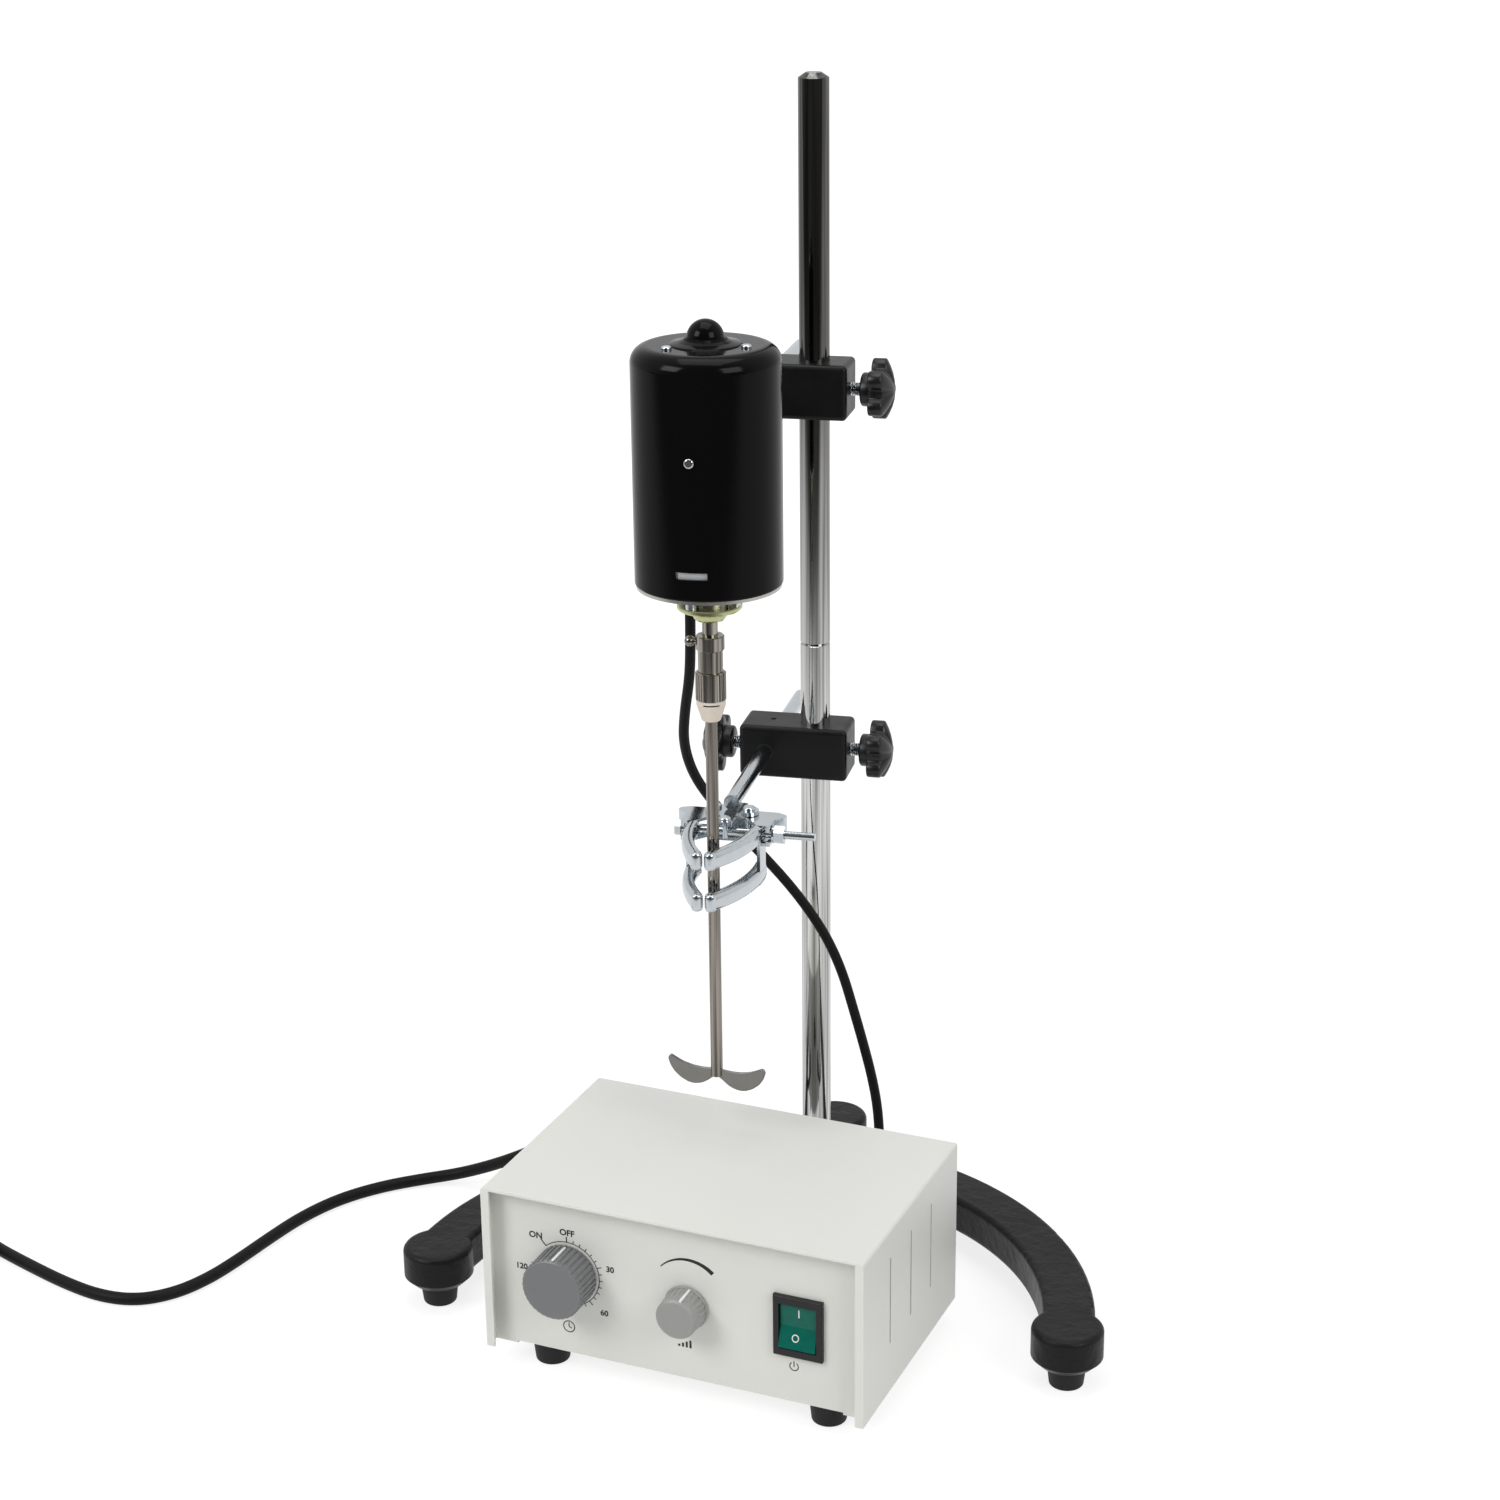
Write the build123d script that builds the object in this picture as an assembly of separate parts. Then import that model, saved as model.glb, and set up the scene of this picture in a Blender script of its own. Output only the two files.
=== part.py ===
from build123d import *
import math
import os

# An overhead laboratory stirrer: a horseshoe stand with a two-piece rod, a motor with a
# chuck and a paddle on a sliding arm, a claw clamp on a second arm, and a separate
# control box. Millimetres and degrees. The model is built with the rod's axis at the
# origin, the bench at zero height and the arms towards -Y, and is centred at the end.

# Stand casting
arc_radius = 164.5          # centreline of the horseshoe, which passes under the rod
arc_width = 26.0
arc_half_span = 85.6        # from the rod's side of the arc to each front boss
casting_bottom = 12.3
casting_thickness = 20.1
casting_round = 3.0
boss_radius = 17.9
boss_chamfer = 4.0
tail_length = 42.0          # from the rod to the back boss
rod_boss_radius = 19.0
rod_boss_rise = 6.0
nut_pocket_radius = 13.5
nut_pocket_depth = 9.0

# Rod
rod_dia = 15.5
lower_rod_length = 285.1
upper_rod_length = 288.5
rod_edge_chamfer = 0.8
rod_tip_height = 2.5
rod_tip_radius = 4.0
rod_spigot_dia = 12.0
rod_joint_dia = 10.0
rod_joint_depth = 20.0
rod_nut_flats = 18.0
rod_nut_height = 7.0
rod_washer_radius = 12.0
rod_washer_thickness = 1.5

# Feet and screws
foot_top_radius = 10.0
foot_floor_radius = 8.5
foot_round = 1.2
screw_dia = 4.0
screw_head_radius = 4.0
screw_head_height = 2.4
screw_recess = 4.0
screw_reach = 9.0

# Boss blocks on the rod
arm_swing = 2.5             # both arms stand turned a little to one side
block_left = 38.0           # from the rod's axis to the bar end of the block
block_right = 18.7
block_depth = 27.0
block_height = 28.0
block_round = 2.5
slide_clearance = 0.1
bar_offset = 24.4
upper_block_height = 457.0
lower_block_height = 266.0
dimple_radius = 1.6
dimple_depth = 0.6

# Clamp knobs
clamp_screw_dia = 7.0
clamp_screw_gap = 0.3       # from the tip of each loosened screw to what it clamps
clamp_screw_show = 5.5
knob_hub_radius = 8.5
knob_hub_length = 4.8
knob_core_radius = 11.0
knob_lobes = 5
knob_lobe_radius = 4.7
knob_lobe_circle = 11.2
knob_lobe_thickness = 7.0
knob_dome_height = 5.0

# Motor arm and shell
motor_reach = 129.0
motor_bar_dia = 12.0
bar_tail = 90.0             # length of bar behind the rod
bar_chamfer = 0.8
bar_stud_dia = 8.0
shell_radius = 35.0
shell_wall = 1.2
shell_bottom = 391.6
shell_height = 112.9
shell_shoulder = 8.0
shell_foot_round = 1.0
slot_width = 15.0
slot_height = 3.4
slot_rise = 12.2            # above the shell's lower edge
cap_flare_radius = 17.0
cap_neck_radius = 9.6
cap_flare_height = 3.4
cap_dome_radius = 8.8
cap_wall = 1.0
top_screw_circle = 21.0
top_screw_turn = -14.0
small_screw_head_radius = 2.4
small_screw_head_height = 1.5
small_screw_dia = 3.0
small_screw_length = 5.0

# Motor bottom
plate_radius = 34.3
plate_thickness = 1.5
spigot_radius = 9.3
spigot_length = 9.1
flange_radius = 15.5
flange_thickness = 2.5
flange_cone_top = 9.5
flange_cone_bottom = 7.6
flange_cone_height = 5.3
pillar_circle = 12.4
pillar_turn = 240.0
pillar_radius = 2.75
pillar_height = 3.8
pillar_screw_dia = 2.6
grommet_side = -16.2
grommet_back = 24.7
grommet_radius = 4.4
grommet_lip = 1.6
cord_dia = 5.2

# Motor inside
shaft_dia = 7.5
shaft_clearance = 0.05
journal_dia = 5.0
bearing_radius = 8.0
bearing_height = 5.0
core_height = 50.0
core_bottom = 424.0
pole_gap = 0.6
armature_radius = 17.4
winding_overhang = 5.0
winding_radius = 14.5
coil_inner = 19.5
coil_outer = 29.0
coil_arc = 100.0
coil_overhang = 6.0
commutator_radius = 10.0
commutator_height = 10.0
commutator_gap = 2.0
brush_width = 6.0
brush_height = 6.0
brush_gap = 0.2
brush_length = 14.0
brush_ring_thickness = 2.0
brush_ring_inner = 13.0

# Chuck
chuck_collar_radius = 6.85
chuck_collar_height = 7.3
chuck_collar_top = 365.5
chuck_neck_radius = 6.0
chuck_neck_show = 10.7
set_screw_neck_radius = 1.2
set_screw_ball_radius = 2.6
set_screw_reach = 9.9
sleeve_radius = 7.35
sleeve_height = 13.8
sleeve_ribs = 30
sleeve_rib_depth = 0.35
sleeve_chamfer = 0.8
nose_top_radius = 7.1
nose_bottom_radius = 4.7
nose_height = 10.8
nose_wall = 1.1
nose_slit_width = 7.6
nose_slit_height = 0.6
collet_slit = 0.8
grip_clearance = 0.05
bore_depth = 17.0           # of the stirrer's bore above the collet

# Stirrer
stirrer_dia = 6.0
stirrer_insert = 20.0       # length of shaft inside the chuck
stirrer_bottom = 135.6
blade_span = 52.0
blade_turn = -9.3
blade_thickness = 1.5
blade_bottom = 129.0
blade_notch = 5.2
blade_low_point = 12.2
blade_tip_height = 14.6
blade_tip_radius = 1.4
blade_tip_drop = 4.0
blade_saddle = 9.6
blade_web = 8.4

# Claw clamp
claw_bar_dia = 8.0
claw_bar_reach = 89.4
claw_bar_tail = 80.0
claw_plate_top = 262.4
claw_plate_thickness = 2.0
claw_frame_height = 15.3
claw_frame_back = 79.0
claw_frame_half = 6.0
claw_pivot_half = 8.5
claw_pivot_reach = 88.0
claw_ear_radius = 5.0
claw_pin_dia = 4.0
claw_pin_head_radius = 3.2
claw_pin_head_height = 1.8
claw_nose_reach = 104.0
claw_nose_radius = 3.6
claw_nose_pin_dia = 2.6
claw_nose_pin_length = 9.5
jaw_gap = 0.3
jaw_wall = 1.6
jaw_clearance = 0.1
jaw_flat = 14.2             # from the pivot out to the flat that the washer bears on
jaw_flat_back = 5.0
jaw_flat_front = 14.6
jaw_corner = 21.5
jaw_corner_radius = 3.0
jaw_back = 5.0
jaw_root_half = 16.5        # finger centreline at its root, from the clamp's middle
jaw_root_reach = 96.0
jaw_tip_half = 3.4
jaw_tip_reach = 142.5
jaw_bulge = 4.2
finger_height = 8.0
finger_depth = 5.0
finger_round = 1.4
finger_drop = 21.5          # from the upper finger to the lower one
finger_top = 259.6
web_span = 11.0
jaw_lean = 2.0              # both jaws stand turned a little to one side
cross_reach = 98.0
cross_height = 254.2
cross_dia = 4.0
cross_right = 44.0
cross_head_radius = 4.2
cross_head_height = 3.0
cross_slot_back = 3.2
cross_slot_front = 7.0
nut_flats = 8.0
nut_height = 5.0
nut_washer_radius = 4.4
nut_washer_thickness = 1.0
nut_gap = 0.1
head_gap = 0.8

# Control box
box_side = -9.0             # centre of the box beside the rod's axis
box_reach = 157.3
box_turn = -7.9
box_width = 200.0
box_depth = 131.0
box_height = 87.7
box_floor = 12.6
sheet = 1.2
panel_recess = 8.0
cover_return = 3.0
cover_flange = 12.0
vent_length = 46.5
vent_width = 1.6
vent_rise = 26.2
vent_pitch = 28.5
vent_shift = -1.0
vent_count = 3
box_foot_side = 25.6
box_foot_front = 21.3
cover_screw_inset = 7.0
cover_screw_front = 45.0
standoff_radius = 3.0
standoff_height = 8.0

# Panel controls, from the middle of the panel and its lower edge
timer_x = -57.8
timer_rise = 45.2
timer_knob_radius = 16.0
timer_knob_depth = 18.0
timer_knob_gap = 0.8
timer_ribs = 36
timer_rib_depth = 0.5
timer_shaft_dia = 6.0
timer_body_size = 46.0
timer_body_depth = 30.0
speed_x = 6.0
speed_rise = 40.8
speed_skirt_radius = 11.6
speed_skirt_height = 2.2
speed_knob_radius = 10.4
speed_knob_back_radius = 11.0
speed_knob_depth = 14.0
speed_ribs = 24
pot_radius = 12.0
pot_depth = 10.0
bush_radius = 5.0
bush_clearance = 0.1
switch_x = 64.4
switch_rise = 42.7
bezel_width = 25.3
bezel_height = 32.2
bezel_depth = 2.6
switch_body_width = 21.6
switch_body_height = 27.0
switch_body_depth = 18.0
rocker_width = 18.6
rocker_height = 23.4
rocker_thickness = 7.0
rocker_turn = 14.0
rocker_gap = 0.3
rocker_proud = 1.2
rocker_pivot_depth = 2.0

# Inside and rear of the box
board_width = 90.0
board_depth = 60.0
board_thickness = 1.6
board_x = 20.0
board_y = 22.0
sink_size = (40.0, 12.0, 34.0)
choke_radius = 13.0
choke_height = 22.0
gland_length = 20.0
gland_rise = 27.4
gland_mouth_radius = 7.0
gland_flange_radius = 8.5
gland_flange_thickness = 2.0
gland_tip_wall = 1.0
motor_gland_x = 42.0
mains_gland_x = -62.0
fuse_x = 0.0
fuse_rise = 55.0
fuse_radius = 7.5
fuse_cap_length = 11.0
fuse_body_length = 32.0

# Mains lead
mains_dia = 6.6
coil_turn_radius = 36.0
coil_rows = 2
coil_lead_in = 30.0
tie_width = 8.0
tie_thickness = 1.0
tie_clearance = 0.6
tie_angle = 300.0
plug_width = 33.0
plug_length = 40.0
plug_thickness = 22.0
plug_round = 4.0
plug_relief_length = 18.0
plug_angle = 190.0
plug_lead = 30.0            # of cord from the coil to the plug's sleeve
pin_length = 18.0
pin_width = 6.3
pin_thickness = 1.6
pin_spread = 6.4
pin_slant = 30.0
earth_pin_length = 20.0

motor_cord_points = [
    (-36.0, -106.0, 388.4),
    (-35.6, -105.6, 372.0),
    (-36.2, -104.0, 354.0),
    (-38.0, -100.0, 334.0),
    (-43.5, -92.0, 312.0),
    (-47.2, -83.0, 293.0),
    (-46.0, -72.0, 273.0),
    (-39.6, -61.0, 255.0),
    (-29.0, -51.0, 237.0),
    (-16.0, -44.0, 219.0),
    (-3.9, -40.0, 203.4),
    (7.3, -38.0, 187.5),
    (16.6, -38.0, 172.5),
    (24.2, -39.0, 155.5),
    (29.9, -40.5, 137.5),
    (35.4, -41.0, 118.5),
    (39.8, -40.0, 99.8),
    (42.6, -38.0, 81.3),
    (44.1, -39.0, 63.3),
    (45.6, -48.5, 48.2),
    (46.4, -64.5, 40.2),
    (44.4, -78.2, 40.0),
]
mains_cord_points = [
    (-58.6, -63.9, 40.0),
    (-56.0, -46.5, 41.0),
    (-62.5, -31.0, 42.6),
    (-79.0, -22.5, 43.6),
    (-99.0, -24.5, 43.8),
    (-120.0, -32.0, 42.5),
    (-141.0, -38.5, 36.5),
    (-160.0, -39.0, 26.0),
    (-179.5, -34.0, 15.0),
    (-199.0, -31.0, 6.3),
    (-219.0, -37.5, 3.5),
    (-238.0, -51.0, 3.3),
    (-255.0, -70.0, 3.3),
    (-267.0, -94.0, 3.3),
    (-274.5, -120.0, 3.3),
    (-281.0, -146.0, 3.3),
    (-288.0, -168.0, 3.3),
    (-298.5, -186.0, 3.3),
    (-314.5, -197.5, 3.3),
    (-335.5, -198.0, 3.3),
    (-360.0, -190.0, 3.3),
    (-388.0, -177.5, 3.3),
    (-414.0, -165.0, 3.3),
]

# Heights that follow from the sizes above
casting_top = casting_bottom + casting_thickness
rod_seat = casting_top + rod_boss_rise
rod_seam = rod_seat + lower_rod_length
rod_top = rod_seam + upper_rod_length
shell_top = shell_bottom + shell_height
plate_bottom = shell_bottom - plate_thickness
flange_top = plate_bottom - spigot_length
chuck_neck_top = chuck_collar_top - chuck_collar_height
sleeve_top = chuck_neck_top - chuck_neck_show
sleeve_bottom = sleeve_top - sleeve_height
nose_bottom = sleeve_bottom - nose_height
box_top = box_floor + box_height
panel_y = -box_depth / 2 + panel_recess


def swing(shape):
    """Turns a piece of an arm to where the arms stand on the rod."""
    return shape.rotate(Axis.Z, arm_swing)


def on_motor(shape):
    """Moves a piece made about the Z axis to the motor's axis."""
    return swing(shape.moved(Location((-bar_offset, -motor_reach, 0))))


def on_box(shape):
    """Moves a piece made about the middle of the box to where the box stands."""
    turned = shape.rotate(Axis.Z, box_turn)
    return turned.moved(Location((box_side, -box_reach, 0)))


def tube(outer, inner, bottom, top):
    """Makes a ring between two heights."""
    body = Pos(0, 0, (bottom + top) / 2) * Cylinder(outer, top - bottom)
    return body - Pos(0, 0, (bottom + top) / 2) * Cylinder(inner, top - bottom + 2)


def rod_between(radius, bottom, top):
    """Makes an upright round bar between two heights."""
    return Pos(0, 0, (bottom + top) / 2) * Cylinder(radius, top - bottom)


def turned(points):
    """Makes a turned piece from its half outline of (radius, height) points."""
    outline = Polyline([(r, 0, z) for r, z in points], close=True)
    return revolve(make_face(outline), Axis.Z)


def ring_places(radius, count, first=0.0):
    """Gives places spaced evenly on a circle."""
    return PolarLocations(radius, count, first, 360)


def ribbed_outline(radius, depth, ribs):
    """Makes a round outline with ribs as high as depth."""
    step = 2 * math.pi / ribs
    shape = Circle(radius - depth)
    width = step * radius * 0.55
    rib = Pos(radius - depth, 0) * Rectangle(2 * depth, width)
    return shape + [Rot(0, 0, math.degrees(step * i)) * rib for i in range(ribs)]


def pan_screw(shank, length, head_radius, head_height):
    """Makes a pan-head screw that points down from its seat at zero height."""
    head = Pos(0, 0, head_height / 2) * Cylinder(head_radius, head_height)
    head = fillet(head.edges().sort_by(Axis.Z)[-1], 0.6 * head_height)
    return head + Pos(0, 0, -length / 2) * Cylinder(shank / 2, length)


# Stand


def foot_places():
    """Gives the middle of each boss that carries a foot of the stand."""
    angle = math.radians(arc_half_span)
    side = arc_radius * math.sin(angle)
    front = arc_radius * (math.cos(angle) - 1)
    return [(-side, front), (side, front), (0, tail_length)]


def base_casting():
    """Makes the horseshoe with its bosses, its tail and the seat of the rod."""
    section = Pos(arc_radius, casting_thickness / 2) * Rectangle(arc_width, casting_thickness)
    section = fillet(section.vertices(), casting_round)
    ring = revolve(Plane.XZ * section, Axis.Z, 2 * arc_half_span)
    ring = ring.rotate(Axis.Z, 90 - arc_half_span)
    ring = ring.moved(Location((0, -arc_radius, casting_bottom)))
    tail = Pos(0, tail_length / 2, casting_bottom + casting_thickness / 2)
    tail = tail * Box(arc_width, tail_length, casting_thickness)
    tail = fillet(tail.edges().filter_by(Axis.Y), casting_round)
    body = ring + tail
    for x, y in foot_places():
        boss = Cylinder(boss_radius, casting_thickness)
        boss = fillet(boss.edges().sort_by(Axis.Z)[-1], casting_round)
        boss = chamfer(boss.edges().sort_by(Axis.Z)[0], boss_chamfer)
        body += Pos(x, y, casting_bottom + casting_thickness / 2) * boss
    seat = rod_between(rod_boss_radius, casting_bottom, rod_seat)
    seat = fillet(seat.edges().sort_by(Axis.Z)[-1], casting_round)
    body += seat
    body -= rod_between(rod_spigot_dia / 2, casting_bottom - 1, rod_seat + 1)
    pocket_top = casting_bottom + nut_pocket_depth
    body -= rod_between(nut_pocket_radius, casting_bottom - 1, pocket_top)
    for x, y in foot_places():
        body -= Pos(x, y, 0) * rod_between(screw_dia / 2, 0, casting_bottom + screw_reach)
    return body


def foot(height):
    """Makes a rubber foot that hangs from a given height down to the bench."""
    body = turned([(0, 0), (foot_floor_radius, 0), (foot_top_radius, height), (0, height)])
    body = fillet(body.edges().sort_by(Axis.Z)[0], foot_round)
    body -= rod_between(screw_head_radius + 0.5, -1, screw_recess + screw_head_height)
    return body - rod_between(screw_dia / 2, 0, height + 1)


def foot_screw(height):
    """Makes the screw that holds a foot, with its head in the foot's recess."""
    seat = screw_recess + screw_head_height
    reach = height + screw_reach - seat
    screw = pan_screw(screw_dia, reach, screw_head_radius, screw_head_height)
    return Pos(0, 0, seat) * Rot(180, 0, 0) * screw


def base_feet():
    """Makes the three feet of the stand."""
    return [Pos(x, y, 0) * foot(casting_bottom) for x, y in foot_places()]


def base_nut():
    """Makes the nut and washer that hold the rod from under the casting."""
    top = casting_bottom + nut_pocket_depth
    washer = tube(rod_washer_radius, rod_spigot_dia / 2, top - rod_washer_thickness, top)
    nut_top = top - rod_washer_thickness
    nut = extrude(RegularPolygon(rod_nut_flats / 2, 6, major_radius=False), rod_nut_height)
    nut = Pos(0, 0, nut_top - rod_nut_height) * nut
    nut -= rod_between(rod_spigot_dia / 2, 0, nut_top + 1)
    return [washer, nut]


def lower_rod():
    """Makes the lower half of the rod, with its spigot and the socket of the joint."""
    body = rod_between(rod_dia / 2, rod_seat, rod_seam)
    body = chamfer(body.edges().sort_by(Axis.Z)[-1], rod_edge_chamfer)
    spigot_bottom = casting_bottom + nut_pocket_depth - rod_washer_thickness - rod_nut_height
    body += rod_between(rod_spigot_dia / 2, spigot_bottom, rod_seat)
    return body - rod_between(rod_joint_dia / 2, rod_seam - rod_joint_depth - 2, rod_seam + 1)


def upper_rod():
    """Makes the upper half of the rod, with its spigot and its low cone tip."""
    body = turned([
        (0, rod_seam - rod_joint_depth),
        (rod_joint_dia / 2, rod_seam - rod_joint_depth),
        (rod_joint_dia / 2, rod_seam),
        (rod_dia / 2 - rod_edge_chamfer, rod_seam),
        (rod_dia / 2, rod_seam + rod_edge_chamfer),
        (rod_dia / 2, rod_top - rod_tip_height),
        (rod_tip_radius, rod_top),
        (0, rod_top),
    ])
    return body


# Boss blocks and clamp knobs


def boss_block(height, bar_dia):
    """Makes a block with an upright rod bore, a level bar bore and two screw holes."""
    middle = (block_right - block_left) / 2
    body = Pos(middle, 0, height) * Box(block_left + block_right, block_depth, block_height)
    body = fillet(body.edges(), block_round)
    body -= Pos(0, 0, height) * Cylinder(rod_dia / 2 + slide_clearance, 2 * block_height)
    bore = Cylinder(bar_dia / 2, 2 * block_depth)
    body -= Pos(-bar_offset, 0, height) * Rot(90, 0, 0) * bore
    hole = Rot(0, 90, 0) * Cylinder(clamp_screw_dia / 2 + slide_clearance, block_right)
    body -= Pos(block_right / 2 + rod_dia / 4, 0, height) * hole
    left = Rot(0, 90, 0) * Cylinder(clamp_screw_dia / 2 + slide_clearance, block_left - bar_offset)
    body -= Pos(-(block_left + bar_offset) / 2 - bar_dia / 4, 0, height) * left
    dimple = Pos(-bar_offset + 2, 0, height + block_height / 2) * Cylinder(dimple_radius, 2 * dimple_depth)
    return body - dimple


def clamp_knob(reach):
    """Makes a star knob along +X with its screw, which reaches back from the hub."""
    outline = Circle(knob_core_radius)
    outline += [place * Circle(knob_lobe_radius) for place in ring_places(knob_lobe_circle, knob_lobes)]
    star = extrude(outline, knob_lobe_thickness)
    star = fillet(star.edges().group_by(Axis.Z)[0] + star.edges().group_by(Axis.Z)[-1], 0.8)
    dome_radius = (knob_core_radius**2 + knob_dome_height**2) / (2 * knob_dome_height)
    dome = Pos(0, 0, knob_lobe_thickness + knob_dome_height - dome_radius) * Sphere(dome_radius)
    dome &= rod_between(knob_core_radius, knob_lobe_thickness - 1, knob_lobe_thickness + knob_dome_height)
    hub = rod_between(knob_hub_radius, -knob_hub_length, 1)
    hub = chamfer(hub.edges().sort_by(Axis.Z)[0], 0.8)
    screw = rod_between(clamp_screw_dia / 2, -knob_hub_length - reach, 1)
    screw = chamfer(screw.edges().sort_by(Axis.Z)[0], 1.0)
    return Rot(0, 90, 0) * (star + dome + hub + screw)


def rod_knob(height):
    """Makes the knob on the right of a block, whose screw presses on the rod."""
    show = block_right + clamp_screw_show
    reach = show - rod_dia / 2 - clamp_screw_gap
    return swing(Pos(show + knob_hub_length, 0, height) * clamp_knob(reach))


def bar_knob(height, bar_dia):
    """Makes the knob on the left of a block, whose screw presses on the bar."""
    show = block_left + clamp_screw_show
    reach = show - bar_offset - bar_dia / 2 - clamp_screw_gap
    return swing(Pos(-show - knob_hub_length, 0, height) * Rot(0, 0, 180) * clamp_knob(reach))


# Motor arm


def motor_bar():
    """Makes the bar from the shell's back wall through the block, with its stud."""
    front = motor_reach - shell_radius
    length = front + bar_tail + 1
    body = chamfer(Cylinder(motor_bar_dia / 2, length).edges().sort_by(Axis.Z)[0], bar_chamfer)
    body = Pos(0, bar_tail - length / 2, 0) * Rot(90, 0, 0) * body
    body -= Pos(0, -motor_reach, 0) * Cylinder(shell_radius, 2 * motor_bar_dia)
    stud_length = shell_wall + 2
    stud = Rot(90, 0, 0) * Cylinder(bar_stud_dia / 2, stud_length + 2)
    body += Pos(0, -front - stud_length / 2 + 1, 0) * stud
    return swing(Pos(-bar_offset, 0, upper_block_height) * body)


def motor_shell():
    """Makes the drawn steel can over the motor, with its slot and its holes."""
    outer = rod_between(shell_radius, shell_bottom, shell_top)
    outer = fillet(outer.edges().sort_by(Axis.Z)[-1], shell_shoulder)
    outer = fillet(outer.edges().sort_by(Axis.Z)[0], shell_foot_round)
    inner = rod_between(shell_radius - shell_wall, shell_bottom - 1, shell_top - shell_wall)
    inner = fillet(inner.edges().sort_by(Axis.Z)[-1], shell_shoulder - shell_wall)
    body = outer - inner
    body -= rod_between(bearing_radius, shell_top - 10, shell_top + 1)
    slot = Pos(0, -shell_radius, shell_bottom + slot_rise) * Box(slot_width, 10, slot_height)
    body -= slot
    back = Pos(0, shell_radius, upper_block_height) * Rot(90, 0, 0) * Cylinder(bar_stud_dia / 2, 10)
    front = Pos(0, -shell_radius, upper_block_height) * Rot(90, 0, 0) * Cylinder(small_screw_dia / 2, 10)
    body -= back
    body -= front
    for place in ring_places(top_screw_circle, 3, top_screw_turn):
        body -= place * rod_between(small_screw_dia / 2, shell_top - 3, shell_top + 1)
    return on_motor(body)


def motor_cap():
    """Makes the flared collar and dome that cover the top bearing."""
    flare = turned([
        (0, shell_top),
        (cap_flare_radius, shell_top),
        (cap_flare_radius - 0.6, shell_top + 0.6),
        (cap_neck_radius + 3.2, shell_top + 1.4),
        (cap_neck_radius + 0.9, shell_top + 2.3),
        (cap_neck_radius, shell_top + cap_flare_height),
        (0, shell_top + cap_flare_height),
    ])
    dome = Pos(0, 0, shell_top + cap_flare_height - 0.6) * Sphere(cap_dome_radius)
    dome &= rod_between(cap_dome_radius + 1, shell_top + 1, shell_top + 30)
    body = flare + dome
    hollow = rod_between(bearing_radius, shell_top - 1, shell_top + bearing_height - 1)
    return on_motor(body - hollow)


def motor_screws():
    """Makes the top screws, the front screw and the pillars over the flange."""
    screw = pan_screw(small_screw_dia, small_screw_length, small_screw_head_radius, small_screw_head_height)
    solids = [place * Pos(0, 0, shell_top) * screw for place in ring_places(top_screw_circle, 3, top_screw_turn)]
    front = Pos(0, -shell_radius, upper_block_height) * Rot(90, 0, 0) * screw
    solids.append(front)
    pillar = rod_between(pillar_radius, flange_top, flange_top + pillar_height)
    pillar += rod_between(pillar_screw_dia / 2, flange_top - flange_thickness, plate_bottom)
    solids += [place * pillar for place in ring_places(pillar_circle, 3, pillar_turn)]
    return [on_motor(solid) for solid in solids]


def bottom_plate():
    """Makes the motor's end plate with the spigot of its lower bearing."""
    body = rod_between(plate_radius, plate_bottom, shell_bottom)
    body += rod_between(spigot_radius, flange_top, plate_bottom)
    body -= rod_between(bearing_radius, plate_bottom - bearing_height, shell_bottom + 1)
    body -= rod_between(shaft_dia / 2 + 0.4, flange_top - 1, shell_bottom)
    body -= Pos(grommet_side, grommet_back, plate_bottom) * Cylinder(grommet_radius - grommet_lip, 10)
    return on_motor(body)


def bearing_flange():
    """Makes the plated flange with its short cone under the motor."""
    bottom = flange_top - flange_thickness
    body = turned([
        (0, flange_top),
        (flange_radius - 0.5, flange_top),
        (flange_radius, flange_top - 0.5),
        (flange_radius, bottom + 0.8),
        (flange_radius - 0.8, bottom),
        (flange_cone_top, bottom),
        (flange_cone_bottom, bottom - flange_cone_height + 1),
        (flange_cone_bottom - 0.8, bottom - flange_cone_height),
        (0, bottom - flange_cone_height),
    ])
    body -= rod_between(shaft_dia / 2 + 0.4, bottom - flange_cone_height - 1, flange_top + 1)
    for place in ring_places(pillar_circle, 3, pillar_turn):
        body -= place * rod_between(pillar_screw_dia / 2, bottom - 1, flange_top + 1)
    return on_motor(body)


def cord_grommet():
    """Makes the rubber grommet that the motor's cord leaves through."""
    lip = rod_between(grommet_radius, plate_bottom - grommet_lip, plate_bottom)
    neck = rod_between(grommet_radius - grommet_lip, plate_bottom, shell_bottom)
    return on_motor(Pos(grommet_side, grommet_back, 0) * (lip + neck))


def coil_shape(extra):
    """Makes one field coil as an arc block, larger all round by extra."""
    bottom = core_bottom - coil_overhang - extra
    top = core_bottom + core_height + coil_overhang + extra
    block = tube(coil_outer + extra, coil_inner - extra, bottom, top)
    half = math.radians(coil_arc / 2) + extra / coil_outer
    reach = 2 * coil_outer
    wedge = Polyline(
        (0, 0), (reach * math.cos(half), -reach * math.sin(half)),
        (reach, 0), (reach * math.cos(half), reach * math.sin(half)), close=True,
    )
    return block & Pos(0, 0, bottom) * extrude(make_face(wedge), top - bottom)


def field_coils():
    """Makes the two field coils."""
    return [on_motor(Rot(0, 0, turn) * coil_shape(0)) for turn in (0, 180)]


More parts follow.
